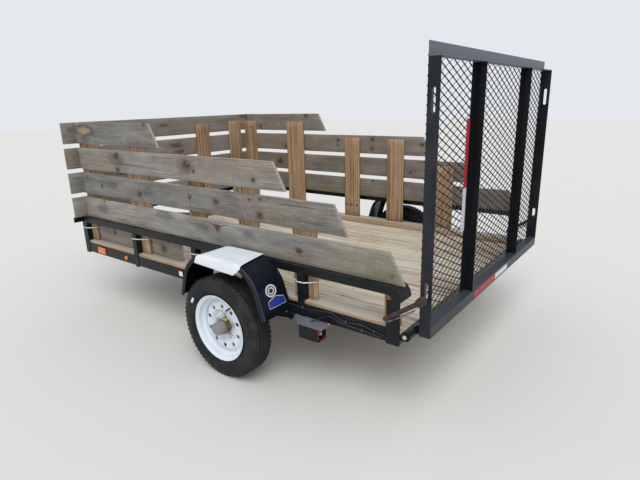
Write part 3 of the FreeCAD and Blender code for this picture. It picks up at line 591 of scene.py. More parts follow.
# the fender lips' paint: lighter than the fender's navy, a painted highlight along the rolled edge
lipHighlightPaint = paintedSteel("lipHighlightPaint", steelLook["corner"], gloss=0.3)
rustedLatch = rustySteel("rustedLatch")
rodSteel = barePlating("rodSteel", rgb(0.30, 0.27, 0.27), rustShare=0.2, gloss=0.45)
paperWhite = plainGloss("paperWhite", rgb(0.70, 0.735, 0.78), roughness=0.7, grain=60.0, dirt=0.10)
gripRubber = plainGloss("gripRubber", rgb(0.012, 0.012, 0.013), roughness=0.7, grain=300.0,
                        depth=0.0006, dirt=0.3)
capPaint = plainGloss("capPaint", rgb(0.42, 0.42, 0.40), roughness=0.45, grain=120.0, depth=0.0005,
                      dirt=0.4)
tieWhite = plainGloss("tieWhite", rgb(0.66, 0.67, 0.68))
cableGrey = plainGloss("cableGrey", rgb(0.016, 0.02, 0.026), roughness=0.3)
limeLabel = plainGloss("limeLabel", rgb(0.30, 0.52, 0.12), roughness=0.5)
bulbGlass = plainGloss("bulbGlass", rgb(0.42, 0.38, 0.30), roughness=0.2)
tapeRed = tapeFilm("tapeRed", tapeColours["red"], tapeColours["redDeep"])
tapeWhite = tapeFilm("tapeWhite", tapeColours["white"], tapeColours["whiteDeep"])
special = {
    "fender_left": fenderPaint, "fender_right": fenderPaint,
    "gate_latch_left": rustedLatch, "gate_latch_right": rustedLatch,
}
for part in frame["record"]["subparts"]:
    slots = nodes[part["node"]].data.materials
    slots.clear()
    slots.append(special.get(part["node"], finishes[part["material_slot"]]))
print("stage: materials made")

bothSides = (("left", 1), ("right", -1))
squareCorners = ((-1, -1), (1, -1), (1, 1), (-1, 1))


# Mesh building: a shape collects closed shells, then becomes one piece
class Shape:
    def __init__(self):
        self.points = []
        self.faces = []
        self.grain = []
        self.tone = []

    def rings(self, rings, closed=False):
        # rows of points, each row going round; open runs are capped at both ends
        first = len(self.points)
        count = len(rings[0])
        for ring in rings:
            self.points += [tuple(point) for point in ring]
        for i in range(len(rings) - (0 if closed else 1)):
            here = first + i * count
            there = first + (i + 1) % len(rings) * count
            for k in range(count):
                n = (k + 1) % count
                self.faces.append([here + k, here + n, there + n, there + k])
        if not closed:
            self.faces.append(list(range(first, first + count)))
            last = first + (len(rings) - 1) * count
            self.faces.append(list(range(last, last + count)))

    def block(self, low, high, edge):
        # a box with its edges taken off
        low = Vector(low)
        high = Vector(high)
        edge = min(edge, *[(high[i] - low[i]) * 0.4 for i in range(3)])
        rows = []
        for z, inset in ((low.z, edge), (low.z + edge, 0), (high.z - edge, 0), (high.z, edge)):
            x0, x1, y0, y1 = low.x + inset, high.x - inset, low.y + inset, high.y - inset
            rows.append([(x0 + edge, y0, z), (x1 - edge, y0, z), (x1, y0 + edge, z), (x1, y1 - edge, z),
                         (x1 - edge, y1, z), (x0 + edge, y1, z), (x0, y1 - edge, z), (x0, y0 + edge, z)])
        self.rings(rows)

    def lathe(self, profile, centre, axis, sides, closed=False):
        # profile of (radius, distance along the axis); closed when it comes back to its start
        axis = Vector(axis).normalized()
        across = axis.orthogonal().normalized()
        third = axis.cross(across)
        rows = []
        for i in range(sides):
            turn = 2 * math.pi * i / sides
            out = across * math.cos(turn) + third * math.sin(turn)
            rows.append([Vector(centre) + out * r + axis * d for r, d in profile])
        if closed:
            self.rings(rows, True)
        else:
            self.rings([list(ring) for ring in zip(*rows)])

    def tube(self, path, radius, sides=10, flat=1.0, up=(0, 0, 1)):
        # a round or flattened section carried along a path
        path = [Vector(p) for p in path]
        turns = [2 * math.pi * k / sides for k in range(sides)]
        rows = []
        for i, point in enumerate(path):
            along = (path[min(i + 1, len(path) - 1)] - path[max(i - 1, 0)]).normalized()
            side = along.cross(Vector(up))
            side = (side if side.length > 0.05 else along.orthogonal()).normalized()
            top = side.cross(along)
            rows.append([point + side * (math.cos(a) * radius) + top * (math.sin(a) * radius * flat)
                         for a in turns])
        self.rings(rows)

    def strap(self, path, width, thick, across):
        # a flat band round a closed path, its width along one direction
        path = [Vector(p) for p in path]
        across = Vector(across) * (width / 2)
        rows = []
        for i, point in enumerate(path):
            along = (path[(i + 1) % len(path)] - path[i - 1]).normalized()
            out = along.cross(across).normalized() * (thick / 2)
            rows.append([point + across * a + out * b for a, b in squareCorners])
        self.rings(rows, True)


def pointOutwards(mesh):
    shell = bmesh.new()
    shell.from_mesh(mesh)
    bmesh.ops.recalc_face_normals(shell, faces=shell.faces)
    shell.to_mesh(mesh)
    shell.free()


def makePiece(name, shape, body, material, sharp=35.0):
    mesh = bpy.data.meshes.new(name)
    mesh.from_pydata(shape.points, [], shape.faces)
    if shape.grain:
        grain = [number for place in shape.grain for number in place]
        mesh.attributes.new("grain", "FLOAT_VECTOR", "POINT").data.foreach_set("vector", grain)
        mesh.attributes.new("tone", "FLOAT", "POINT").data.foreach_set("value", shape.tone)
    pointOutwards(mesh)
    return placePiece(name, mesh, body, material, sharp)


def placePiece(name, mesh, body, material, sharp=35.0):
    mesh.materials.clear()
    mesh.materials.append(material)
    mesh.shade_smooth()
    mesh.set_sharp_from_angle(angle=math.radians(sharp))
    piece = bpy.data.objects.new(name, mesh)
    bpy.context.scene.collection.objects.link(piece)
    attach(piece, body)
    return piece


def makeTurned(name, profile, foot, axis, sides, body, material):
    shape = Shape()
    shape.lathe(profile, foot, axis, sides)
    makePiece(name, shape, body, material)


def makeShell(name, rings, body, material, sharp=35.0):
    shape = Shape()
    shape.rings(rings)
    makePiece(name, shape, body, material, sharp)


# Geometry Nodes: trees with named inputs that set out copies of one small shape
def startTree(name, labels):
    tree = bpy.data.node_groups.new(name, "GeometryNodeTree")
    keys = {}
    for label, kind, value in labels:
        socket = tree.interface.new_socket(label, in_out="INPUT", socket_type="NodeSocket" + kind)
        if value is not None:
            socket.default_value = value
        keys[label] = socket.identifier
    tree.interface.new_socket("Geometry", in_out="OUTPUT", socket_type="NodeSocketGeometry")
    return tree, keys, tree.nodes.new("NodeGroupInput").outputs


def addNode(tree, kind, values, settings=None):
    # values by the socket's name or place: a link or a fixed value
    node = tree.nodes.new(kind)
    for name, value in (settings or {}).items():
        setattr(node, name, value)
    for name, value in values.items():
        if isinstance(value, bpy.types.NodeSocket):
            tree.links.new(value, node.inputs[name])
        else:
            node.inputs[name].default_value = value
    return node


def treeMath(tree, operation, first, second):
    return addNode(tree, "ShaderNodeMath", {0: first, 1: second}, {"operation": operation}).outputs[0]


def setOut(tree, inputs, points, spread):
    # one copy of the input Shape on each point, made real and given its material
    shape = addNode(tree, "GeometryNodeObjectInfo", {"Object": inputs["Shape"]})
    copies = addNode(tree, "GeometryNodeInstanceOnPoints", {
        "Points": points, "Instance": shape.outputs["Geometry"], **spread})
    real = addNode(tree, "GeometryNodeRealizeInstances", {0: copies.outputs[0]})
    finish = addNode(tree, "GeometryNodeSetMaterial", {
        "Geometry": real.outputs[0], "Material": inputs["Finish"]})
    addNode(tree, "NodeGroupOutput", {0: finish.outputs[0]})


def copiesTree():
    tree, keys, inputs = startTree("setCopies", (
        ("Places", "Geometry", None), ("Shape", "Object", None), ("Size", "Float", 1.0),
        ("Size play", "Float", 0.0), ("Seed", "Int", 5), ("Finish", "Material", None)))
    play = addNode(tree, "FunctionNodeRandomValue", {"Seed": inputs["Seed"]})
    limits = [socket for socket in play.inputs if socket.enabled]
    for operation, limit in zip(("SUBTRACT", "ADD"), limits):
        tree.links.new(treeMath(tree, operation, inputs["Size"], inputs["Size play"]), limit)
    turn = addNode(tree, "GeometryNodeInputNamedAttribute", {"Name": "turn"}, {"data_type": "FLOAT_VECTOR"})
    euler = addNode(tree, "FunctionNodeEulerToRotation", {0: turn.outputs["Attribute"]})
    size = [socket for socket in play.outputs if socket.enabled][0]
    setOut(tree, inputs, inputs["Places"], {"Rotation": euler.outputs[0], "Scale": size})
    return tree, keys


copies = copiesTree()


def bareObject(name, points, faces=()):
    mesh = bpy.data.meshes.new(name)
    mesh.from_pydata([tuple(p) for p in points], [], faces)
    item = bpy.data.objects.new(name, mesh)
    bpy.context.scene.collection.objects.link(item)
    return item


def runTree(name, made, template, points, material, values, turns=()):
    # the modifier's result as a plain mesh; the objects that it needed are removed
    tree, keys = made
    sample = bareObject(name + "Sample", template.points, template.faces)
    pointOutwards(sample.data)
    carrier = bareObject(name + "Places", points)
    if turns:
        carrier.data.attributes.new("turn", "FLOAT_VECTOR", "POINT").data.foreach_set("vector", turns)
    modifier = carrier.modifiers.new("copies", "NODES")
    modifier.node_group = tree
    for label, value in {"Shape": sample, "Finish": material, **values}.items():
        modifier[keys[label]] = value
    bpy.context.view_layer.update()
    evaluated = carrier.evaluated_get(bpy.context.evaluated_depsgraph_get())
    mesh = bpy.data.meshes.new_from_object(evaluated)
    mesh.name = name
    bpy.data.objects.remove(carrier)
    bpy.data.objects.remove(sample)
    if "turn" in mesh.attributes:
        mesh.attributes.remove(mesh.attributes["turn"])
    return mesh


def setCopies(name, body, material, template, spots, play=0.0):
    # spots: place, direction of the template's own z, and of its own x
    turns = []
    for place, up, along in spots:
        up = Vector(up).normalized()
        side = up.cross(Vector(along)).normalized()
        turns += list(Matrix((side.cross(up), side, up)).transposed().to_euler())
    values = {"Size": 1.0, "Size play": play, "Seed": len(spots)}
    mesh = runTree(name, copies, template, [spot[0] for spot in spots], material, values, turns)
    placePiece(name, mesh, body, material)


# Boards: each solid of a timber node, swept again with worn edges and its own grain
boardLook = {"corner": 0.0032, "station": 0.05, "faceRows": 5, "endInset": 0.7, "wear": 0.0012,
             "edgeZone": 0.004, "edgeWear": 1.6, "sharp": 50.0}


def islandsOf(node):
    mesh = bmesh.new()
    mesh.from_mesh(nodes[node].data)
    bmesh.ops.remove_doubles(mesh, verts=mesh.verts, dist=1e-5)
    todo = set(mesh.verts)
    found = []
    while todo:
        stack = [todo.pop()]
        group = list(stack)
        while stack:
            for edge in stack.pop().link_edges:
                for vert in edge.verts:
                    if vert in todo:
                        todo.discard(vert)
                        stack.append(vert)
                        group.append(vert)
        found.append([vert.co.copy() for vert in group])
    mesh.free()
    return sorted(found, key=lambda points: tuple(round(sum(p[i] for p in points) / len(points), 3)
                                                  for i in range(3)))


def sectionOf(width, thick):
    # a worn rectangle: corners rounded, extra points along the wide faces
    corner = boardLook["corner"]
    points = []
    rows = boardLook["faceRows"]
    for cornerX, cornerY, start in ((width, thick, 0), (0, thick, 90), (0, 0, 180), (width, 0, 270)):
        midX = cornerX - math.copysign(corner, cornerX - width / 2)
        midY = cornerY - math.copysign(corner, cornerY - thick / 2)
        for turn in (0, 45, 90):
            angle = math.radians(start + turn)
            points.append((midX + corner * math.cos(angle), midY + corner * math.sin(angle)))
        if start in (0, 180):
            for k in range(1, rows):
                share = k / rows
                run = width - 2 * corner
                points.append((midX + (-run if start == 0 else run) * share, cornerY))
    return points


def addBoard(shape, points, seed, chips=()):
    low = Vector([min(p[i] for p in points) for i in range(3)])
    high = Vector([max(p[i] for p in points) for i in range(3)])
    size = high - low
    longAxis = max(range(3), key=lambda i: size[i])
    thinAxis = min(range(3), key=lambda i: size[i])
    wideAxis = 3 - longAxis - thinAxis
    width = size[wideAxis]
    thickness = size[thinAxis]
    middle = (low[wideAxis] + high[wideAxis]) / 2

    def endsOf(pick):
        # where the board starts or stops, on its low edge and on its high edge
        return [pick(p[longAxis] for p in points if (p[wideAxis] > middle) == atTop)
                for atTop in (False, True)]

    starts = endsOf(min)
    ends = endsOf(max)
    draw = random.Random(seed)
    shade = draw.random()
    shift = Vector((draw.uniform(0, 40), draw.uniform(0, 9), draw.uniform(0, 9)))
    section = sectionOf(width, thickness)
    endInset = boardLook["corner"] * boardLook["endInset"]
    count = max(4, round(size[longAxis] / boardLook["station"]))
    shares = [0.0] + [i / count for i in range(count + 1)] + [1.0]
    last = len(shares) - 1
    rings = []
    for row, share in enumerate(shares):
        ring = []
        inset = endInset if row in (0, last) else 0.0
        for a, t in section:
            wide = min(max(a, inset), width - inset)
            thin = min(max(t, inset), thickness - inset)
            slope = wide / width
            start = starts[0] + (starts[1] - starts[0]) * slope
            end = ends[0] + (ends[1] - ends[0]) * slope
            along = start + (end - start) * share
            along += endInset * ((row == 1) - (row == last - 1))
            wobble = noise.noise(Vector((along * 6, wide * 30, thin * 60)) + shift) * 0.5 + 0.5
            atEdge = min(wide, width - wide) < boardLook["edgeZone"]
            pull = boardLook["wear"] * wobble * (boardLook["edgeWear"] if atEdge else 1.0)
            for (chipAlong, chipWide), reach, depth in chips:
                gap = math.hypot(along - chipAlong, low[wideAxis] + wide - chipWide)
                pull += depth * max(0.0, 1 - gap / reach)
            thin += pull if thin < thickness / 2 else -pull
            if atEdge:
                wide += pull if wide < width / 2 else -pull
            point = Vector((0, 0, 0))
            point[longAxis] = along
            point[wideAxis] = low[wideAxis] + wide
            point[thinAxis] = low[thinAxis] + thin
            ring.append(point)
            shape.grain.append(Vector((along, wide, thin)) + shift)
            shape.tone.append(shade)
        rings.append(ring)
    shape.rings(rings)


timberSlots = {
    "weathered_boards": ("planks_left", "planks_right", "planks_front", "kick_board"),
    "treated_timber": ("stakes_left", "stakes_right", "stakes_front", "sill_left", "sill_right"),
    "floor_timber": ("floor_deck",),
}
timberSpecial = {"sill_left": sillTimber, "sill_right": sillTimber}
# place along and up, reach, depth
boardChips = {"planks_left": (((0.545, 1.205), 0.10, 0.006), ((0.396, 0.749), 0.05, 0.003))}
seedStep = 31  # room for one node's boards
timberNodes = [(node, slotName) for slotName, names in timberSlots.items() for node in names]
for index, (node, slotName) in enumerate(timberNodes):
    shape = Shape()
    for k, points in enumerate(islandsOf(node)):
        addBoard(shape, points, index * seedStep + k, boardChips.get(node, ()))
    material = timberSpecial.get(node, finishes[slotName])
    piece = makePiece(node + "_boards", shape, "trailer", material, boardLook["sharp"])
    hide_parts(node)
print("stage: timber made")


# Expanded mesh on the gate: strands leaning out of the sheet, laid on a grid by Geometry Nodes
meshLook = {
    "long": 0.0762, "short": 0.0338, "columns": 24, "rows": 33,
    "width": 0.0048, "thick": 0.0021, "lean": -50.0, "knuckle": 1.35, "knuckleEnd": 0.16,
    "inset": 0.008, "lift": 0.0022, "sharp": 30.0,
}


def strandPair():
    # the two strands that leave one crossing, in the sheet's own plane (x long, y short, z out)
    shape = Shape()
    lean = math.radians(meshLook["lean"])
    knuckle = meshLook["knuckle"]
    end = meshLook["knuckleEnd"]
    for side in (1, -1):
        half = Vector((meshLook["long"] / 2, side * meshLook["short"] / 2, 0))
        along = half.normalized()
        width = Vector((0, math.cos(lean), math.sin(lean))) * (meshLook["width"] / 2)
        width -= along * width.dot(along)
        thick = along.cross(width).normalized() * (meshLook["thick"] / 2)
        shape.rings([[half * share + width * (grow * a) + thick * b for a, b in squareCorners]
                     for share, grow in ((0.0, knuckle), (end, 1.0), (1 - end, 1.0), (1.0, knuckle))])
    return shape


def meshSheetTree():
    tree, keys, inputs = startTree("meshSheet", (
        ("Start", "Geometry", None), ("Shape", "Object", None), ("Long pitch", "Float", meshLook["long"]),
        ("Short pitch", "Float", meshLook["short"]), ("Columns", "Int", meshLook["columns"]),
        ("Rows", "Int", meshLook["rows"]), ("Finish", "Material", None)))
    join = tree.nodes.new("GeometryNodeJoinGeometry")
    for half in (0.0, 0.5):
        grid = tree.nodes.new("GeometryNodeMeshGrid")
        shift = tree.nodes.new("ShaderNodeCombineXYZ")
        for axis, pitch, count in (("X", "Long pitch", "Columns"), ("Y", "Short pitch", "Rows")):
            steps = treeMath(tree, "SUBTRACT", inputs[count], 1.0)
            size = treeMath(tree, "MULTIPLY", inputs[pitch], steps)
            tree.links.new(inputs[count], grid.inputs["Vertices " + axis])
            tree.links.new(size, grid.inputs["Size " + axis])
            tree.links.new(treeMath(tree, "MULTIPLY", inputs[pitch], half), shift.inputs[axis])
        move = addNode(tree, "GeometryNodeTransform", {
            "Geometry": grid.outputs["Mesh"], "Translation": shift.outputs[0]})
        tree.links.new(move.outputs[0], join.inputs[0])
    setOut(tree, inputs, join.outputs[0], {})
    return tree, keys


def gateMesh():
    low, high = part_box("gate_mesh")
    steel = finishes["black_paint"]
    mesh = runTree("expanded_mesh", meshSheetTree(), strandPair(), [(0, 0, 0)], steel, {
        "Long pitch": meshLook["long"], "Short pitch": meshLook["short"],
        "Columns": meshLook["columns"], "Rows": meshLook["rows"]})
    # sheet plane to the gate's plane: long way across the trailer, short way up
    turn = Matrix(((0, 0, 1), (1, 0, 0), (0, 1, 0))).to_4x4()
    mesh.transform(Matrix.Translation((low.x + meshLook["lift"], 0, (low.z + high.z) / 2)) @ turn)
    trim = bmesh.new()
    trim.from_mesh(mesh)
    edge = meshLook["inset"]
    for place, normal in (((0, low.y + edge, 0), (0, -1, 0)), ((0, high.y - edge, 0), (0, 1, 0)),
                          ((0, 0, low.z), (0, 0, -1)), ((0, 0, high.z), (0, 0, 1))):
        cut = bmesh.ops.bisect_plane(trim, geom=trim.verts[:] + trim.edges[:] + trim.faces[:],
                                     plane_co=place, plane_no=normal, clear_outer=True)
        edges = [item for item in cut["geom_cut"] if isinstance(item, bmesh.types.BMEdge)]
        bmesh.ops.holes_fill(trim, edges=edges)
    trim.to_mesh(mesh)
    trim.free()
    piece = placePiece("expanded_mesh", mesh, "ramp_gate", steel, meshLook["sharp"])
    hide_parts("gate_mesh")


gateMesh()
print("stage: gate mesh made")


# Tyres: a carcass with grooves and shoulder ribs, and blocks set round both shoulders
tyreLook = {"sides": 120, "sharp": 32.0, "lugs": 66, "lugReach": 0.2606, "lugAside": 0.0455,
            "lugRise": 0.80, "lugSplay": 0.60}
# radius and half width, from the bead up the side wall and over the tread to its middle
tyreOutline = (
    (0.1605, 0.0440), (0.1640, 0.0475), (0.1720, 0.0500), (0.1780, 0.0520), (0.1800, 0.0535),
    (0.1830, 0.0535), (0.1850, 0.0560), (0.2000, 0.0600), (0.2150, 0.0618), (0.2280, 0.0614),
    (0.2300, 0.0600), (0.2330, 0.0598), (0.2350, 0.0600), (0.2460, 0.0565), (0.2480, 0.0545),
    (0.2510, 0.0540), (0.2530, 0.0545), (0.2600, 0.0480), (0.2630, 0.0435), (0.2645, 0.0400),
    (0.2652, 0.0330), (0.2600, 0.0318), (0.2600, 0.0270), (0.2658, 0.0258), (0.2672, 0.0120),
    (0.2618, 0.0108), (0.2618, 0.0060), (0.2675, 0.0048),
)
# radius and place across, over the inside from bead to bead
tyreInside = (
    (0.1605, -0.0400), (0.1700, -0.0330), (0.2100, -0.0480), (0.2400, -0.0420), (0.2520, 0.0),
    (0.2400, 0.0420), (0.2100, 0.0480), (0.1700, 0.0330), (0.1605, 0.0400),
)
# a block's foot and top: half length, half width at each end, height at each end
lugRows = ((0.0075, 0.0042, 0.0060, 0.0, 0.0), (0.0068, 0.0036, 0.0052, 0.0036, 0.0046))


def spoke(turn):
    # the direction at an angle in a wheel's plane
    return Vector((math.cos(turn), 0, math.sin(turn)))


def wheelCentre(sign):
    return Vector((wheelSize["x"], sign * wheelSize["y"], wheelSize["z"]))


def makeTyre(side, sign):
    centre = wheelCentre(sign)
    farHalf = [(radius, -width) for radius, width in reversed(tyreOutline)]
    shape = Shape()
    shape.lathe([*tyreOutline, *farHalf, *tyreInside], centre, (0, 1, 0), tyreLook["sides"], closed=True)
    piece = makePiece("tyre_body_" + side, shape, "wheel_" + side, finishes["tyre"],
                      tyreLook["sharp"])
    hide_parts("tyre_" + side)
    lug = Shape()
    lug.rings([[(-half, -inner, low), (half, -outer, high), (half, outer, high), (-half, inner, low)]
               for half, inner, outer, low, high in lugRows])
    spots = []
    for edge in (1, -1):
        aside = Vector((0, edge, 0))
        for i in range(tyreLook["lugs"]):
            out = spoke(2 * math.pi * (i + (0.5 if edge < 0 else 0)) / tyreLook["lugs"])
            up = (out * tyreLook["lugRise"] + aside * tyreLook["lugSplay"]).normalized()
            spots.append((centre + out * tyreLook["lugReach"] + aside * tyreLook["lugAside"], up,
                          aside - out * tyreLook["lugSplay"]))
    setCopies("tyre_blocks_" + side, "wheel_" + side, finishes["tyre"], lug, spots)


for side, sign in bothSides:
    makeTyre(side, sign)
print("stage: tyres made")


# Screws, bolts and weld drops: one small turned shape each, set out as copies
def turned(profile, sides):
    shape = Shape()
    shape.lathe(profile, (0, 0, 0), (0, 0, 1), sides)
    return shape


screwHead = turned([(0.0040, -0.0004), (0.0040, 0.0004), (0.0028, 0.0012), (0.0013, 0.0014),
                    (0.0010, 0.0007)], 8)
boltHead = turned([(0.0085, -0.0004), (0.0085, 0.0008), (0.0062, 0.0010), (0.0058, 0.0048),
                   (0.0044, 0.0056), (0.0010, 0.0057)], 6)
weldDrop = turned([(0.0008, -0.0009), (0.0030, -0.0007), (0.0028, 0.0005), (0.0014, 0.0013),
                   (0.0005, 0.0014)], 7)
boardHeight = 0.1397
boardRows = [0.619 + k * 0.1667 for k in range(4)]
rowCuts = (-1.710, -1.435, -1.090, -0.148)  # where each row of the walls starts
# each stake's centre and top, then the front wall's stakes by their y
leftStakes = ((-1.25425, 0.891), (-0.89025, 1.069), (-0.49725, 1.071), (-0.03425, 1.15), (0.07175, 1.191),
              (0.6422, 1.199), (-1.69975, 0.703))
rightStakes = ((-1.26525, 0.891), (-0.87725, 1.069), (-0.49125, 1.071), (0.08875, 1.191), (0.6168, 1.199))
frontStakes = (0.719, -0.27, -0.64)
screwLook = {
    "wall": 0.8103, "front": 0.7060, "floor": 0.4109,  # the faces that they sit in
    "wallPairs": ((0.24, -0.014), (0.74, 0.013)), "frontPairs": (0.25, 0.75),  # shares of a board
    "cutRoom": 0.012, "topRoom": 0.008, "play": 0.1, "seed": 11,
    # how far a screw strays: along and up a wall, across a front stake, along the floor
    "strayX": 0.006, "strayZ": 0.008, "strayFront": 0.03, "strayFloor": 0.01,
}
deckLook = {"rear": -1.78025, "beamPitch": 0.448, "boardPitch": 0.1831, "screwAside": 0.055}


def boardScrews():
    look = screwLook
    draw = random.Random(look["seed"])

    def stray(label):
        return draw.uniform(-look[label], look[label])

    spots = []
    for stakes, y in ((leftStakes, look["wall"]), (rightStakes, -look["wall"])):
        for x, top in stakes:
            for row, low in enumerate(boardRows):
                for share, shift in look["wallPairs"]:
                    z = low + boardHeight * share + stray("strayZ")
                    if x < rowCuts[row] + look["cutRoom"] or z > top - look["topRoom"]:
                        continue
                    spots.append(((x + shift + stray("strayX"), y, z), (0, y, 0), (1, 0, 0.4)))
    for y in frontStakes:
        for low in boardRows:
            for share in look["frontPairs"]:
                place = (look["front"], y + stray("strayFront"), low + boardHeight * share)
                spots.append((place, (1, 0, 0), (0, 1, 0.3)))
    setCopies("board_screws", "trailer", finishes["zinc"], screwHead, spots, look["play"])
    spots = []
    for k in range(1, 6):
        for board in range(9):
            for side in (-deckLook["screwAside"], deckLook["screwAside"]):
                x = k * deckLook["beamPitch"] + deckLook["rear"] + stray("strayFloor")
                place = (x, (board - 4) * deckLook["boardPitch"] + side, look["floor"])
                spots.append((place, (0, 0, 1), (1, 0.3, 0)))
    setCopies("floor_screws", "trailer", rustedLatch, screwHead, spots, look["play"])


weldLook = {"uprights": (-1.25625, -0.88025, -0.48025, 0.09775), "heights": (0.5803, 0.4322),
            "face": 0.8321, "start": -0.018, "pitch": 0.0051, "count": 8, "play": 0.2}
stakeBolts = [(x, -0.7716, 0.54) for x in (-0.448, -0.490, -0.540)]


def weldDrops():
    spots = [((x + weldLook["start"] + k * weldLook["pitch"], side * weldLook["face"], z),
              (0, side, 0), (1, 0, 0))
             for x in weldLook["uprights"] for side in (1, -1) for z in weldLook["heights"]
             for k in range(weldLook["count"])]
    setCopies("weld_drops", "trailer", finishes["black_paint"], weldDrop, spots,
              weldLook["play"])
    spots = [(place, (0, 1, 0), (1, 0, 0.2)) for place in stakeBolts]
    setCopies("stake_bolts", "trailer", rustedLatch, boltHead, spots)


boardScrews()
weldDrops()


# Cable ties that hold the left stakes to the steel
tieLook = {"width": 0.0056, "thick": 0.0016, "back": 0.7705, "turn": 0.7925, "out": 0.8337,
           "slack": 0.0015, "edge": 0.0012, "sharp": 40.0}
# upright's low and high x, the stake's, and the tie's height
tiePlaces = ((0.6705, 0.7228, 0.6168, 0.6677, 0.541), (0.0772, 0.1183, 0.0018, 0.1418, 0.547),
             (-0.5008, -0.4597, -0.5673, -0.4273, 0.545), (-1.2768, -1.2357, -1.3243, -1.1843, 0.540))


def cableTies():
    shape = Shape()
    back = tieLook["back"]
    corner = tieLook["turn"]
    out = tieLook["out"]
    for low, high, stakeLow, stakeHigh, z in tiePlaces:
        right = max(high, stakeHigh + tieLook["slack"])
        left = min(low, stakeLow - tieLook["slack"])
        path = [(low, out, z), (high, out, z - 0.001), (right, corner, z), (right, back, z + 0.002),
                (left, back, z + 0.002), (left, corner, z)]
        shape.strap(path, tieLook["width"], tieLook["thick"], (0, 0, 1))
        middle = (low + high) / 2
        shape.block((middle - 0.005, out - 0.0005, z - 0.0040),
                    (middle + 0.004, out + 0.0035, z + 0.0040), tieLook["edge"])
    makePiece("cable_ties", shape, "trailer", tieWhite, tieLook["sharp"])


cableTies()


# Fenders: a rolled lip along the outer edge; on the left one a sheet of paper and two bare stickers
fenderLook = {
    "x": -0.89525, "flat": 0.08258, "bend": 0.19, "sweep": 72.54, "steps": 12, "top": 0.639,
    "bendEnd": (0.26383, 0.506), "base": 0.300, "lowest": 0.391, "slant": (-0.954, 0, 0.300),
    "lip": 1.0165, "lipRadius": 0.0055, "lipInset": 0.003, "lipRise": 0.002,
}


def fenderOutline(inset):
    bend = fenderLook["bend"] - inset
    centre = fenderLook["top"] - fenderLook["bend"]
    half = []
    for i in range(fenderLook["steps"] + 1):
        turn = math.radians(90 - fenderLook["sweep"] * i / fenderLook["steps"])
        half.append((fenderLook["flat"] + bend * math.cos(turn), centre + bend * math.sin(turn)))
    half.append((fenderLook["base"] - inset, fenderLook["lowest"] + fenderLook["lipRise"]))
    both = [(-x, z) for x, z in reversed(half)] + half
    return [(fenderLook["x"] + x, z) for x, z in both]


def fenderLips():
    outline = fenderOutline(fenderLook["lipInset"])
    for side, sign in bothSides:
        shape = Shape()
        shape.tube([(x, sign * fenderLook["lip"], z) for x, z in outline], fenderLook["lipRadius"])
        # the lip is painted lighter than the fender, a painted highlight along its rolled edge
        makePiece("fender_lip_" + side, shape, "trailer", lipHighlightPaint)


def fenderSurface(z):
    # the rear half's place and outward direction at a height
    endX, endZ = fenderLook["bendEnd"]
    if z > endZ:
        turn = math.asin((z - fenderLook["top"] + fenderLook["bend"]) / fenderLook["bend"])
        x = fenderLook["x"] - fenderLook["flat"] - fenderLook["bend"] * math.cos(turn)
        return x, Vector((-math.cos(turn), 0, math.sin(turn)))
    share = (endZ - z) / (endZ - fenderLook["lowest"])
    return fenderLook["x"] - endX - share * (fenderLook["base"] - endX), Vector(fenderLook["slant"])


stickerLook = {"lift": 0.0002, "skin": 0.0009, "white": rgb(0.62, 0.62, 0.63)}


def stickerRings(rows):
    # rows of height, low y and high y
    rings = []
    for z, low, high in rows:
        x, out = fenderSurface(z)
        rings.append([Vector((x, y, z)) + out * stickerLook[layer] for y, layer in (
            (low, "lift"), (high, "lift"), (high, "skin"), (low, "skin"))])
    return rings


roundLook = {"y": 0.9315, "z": 0.507, "half": 0.0355, "tall": 0.0285, "steps": 14, "reach": 172,
             "dark": rgb(0.02, 0.02, 0.03)}


def roundSticker():
    look = roundLook
    material, place = startMaterial("roundSticker")
    squash = look["half"] / look["tall"]
    reach = place.scaled((0.0, 1.0, squash)).distance((0, look["y"], look["z"] * squash))
    ring = reach.step(0.0255, 0.0265) + reach.step(0.0125, 0.0135) * reach.step(0.0205, 0.0195)
    worn = place.noise(260.0, 3.0).step(0.24, 0.36)
    finishMaterial(material, place, {
        "Base Color": (ring * worn).mix(look["dark"], stickerLook["white"]),
        "Roughness": 0.35 + worn * 0.1, "Normal": place.noise(90.0).bump(0.0002)})
    rows = []
    for i in range(look["steps"] + 1):
        turn = math.radians(look["reach"] * (i / look["steps"] - 0.5))
        wide = look["half"] * math.cos(turn)
        rows.append((look["z"] + look["tall"] * math.sin(turn), look["y"] - wide, look["y"] + wide))
    makeShell("round_sticker", stickerRings(rows), "trailer", material)


houseLook = {
    "middle": 0.9125, "blue": rgb(0.012, 0.028, 0.24), "blueWorn": rgb(0.02, 0.045, 0.30),
    # height, low y and high y, up to the ridge
    "rows": ((0.4305, 0.8558, 0.9692), (0.4415, 0.8562, 0.9688), (0.448, 0.8565, 0.9686),
             (0.455, 0.8568, 0.9684), (0.4635, 0.8572, 0.9680), (0.468, 0.8700, 0.9560),
             (0.4735, 0.8900, 0.9360), (0.478, 0.9040, 0.9200)),
}


def houseSticker():
    material, place = startMaterial("houseSticker")
    y = (place.axis("Y") - houseLook["middle"]).unsigned()
    z = place.axis("Z")
    edge = y.step(0.0542, 0.0550).atLeast(z.step(0.4330, 0.4322))
    roof = (z + y * 0.27).step(0.4765, 0.4775)
    cloud = place.noise(90.0, 3.0)
    blue = cloud.mix(houseLook["blue"], houseLook["blueWorn"])
    finishMaterial(material, place, {
        "Base Color": edge.atLeast(roof).mix(blue, stickerLook["white"]),
        "Roughness": 0.3 + cloud * 0.1, "Normal": cloud.bump(0.0002)})
    makeShell("house_sticker", stickerRings(houseLook["rows"]), "trailer", material)


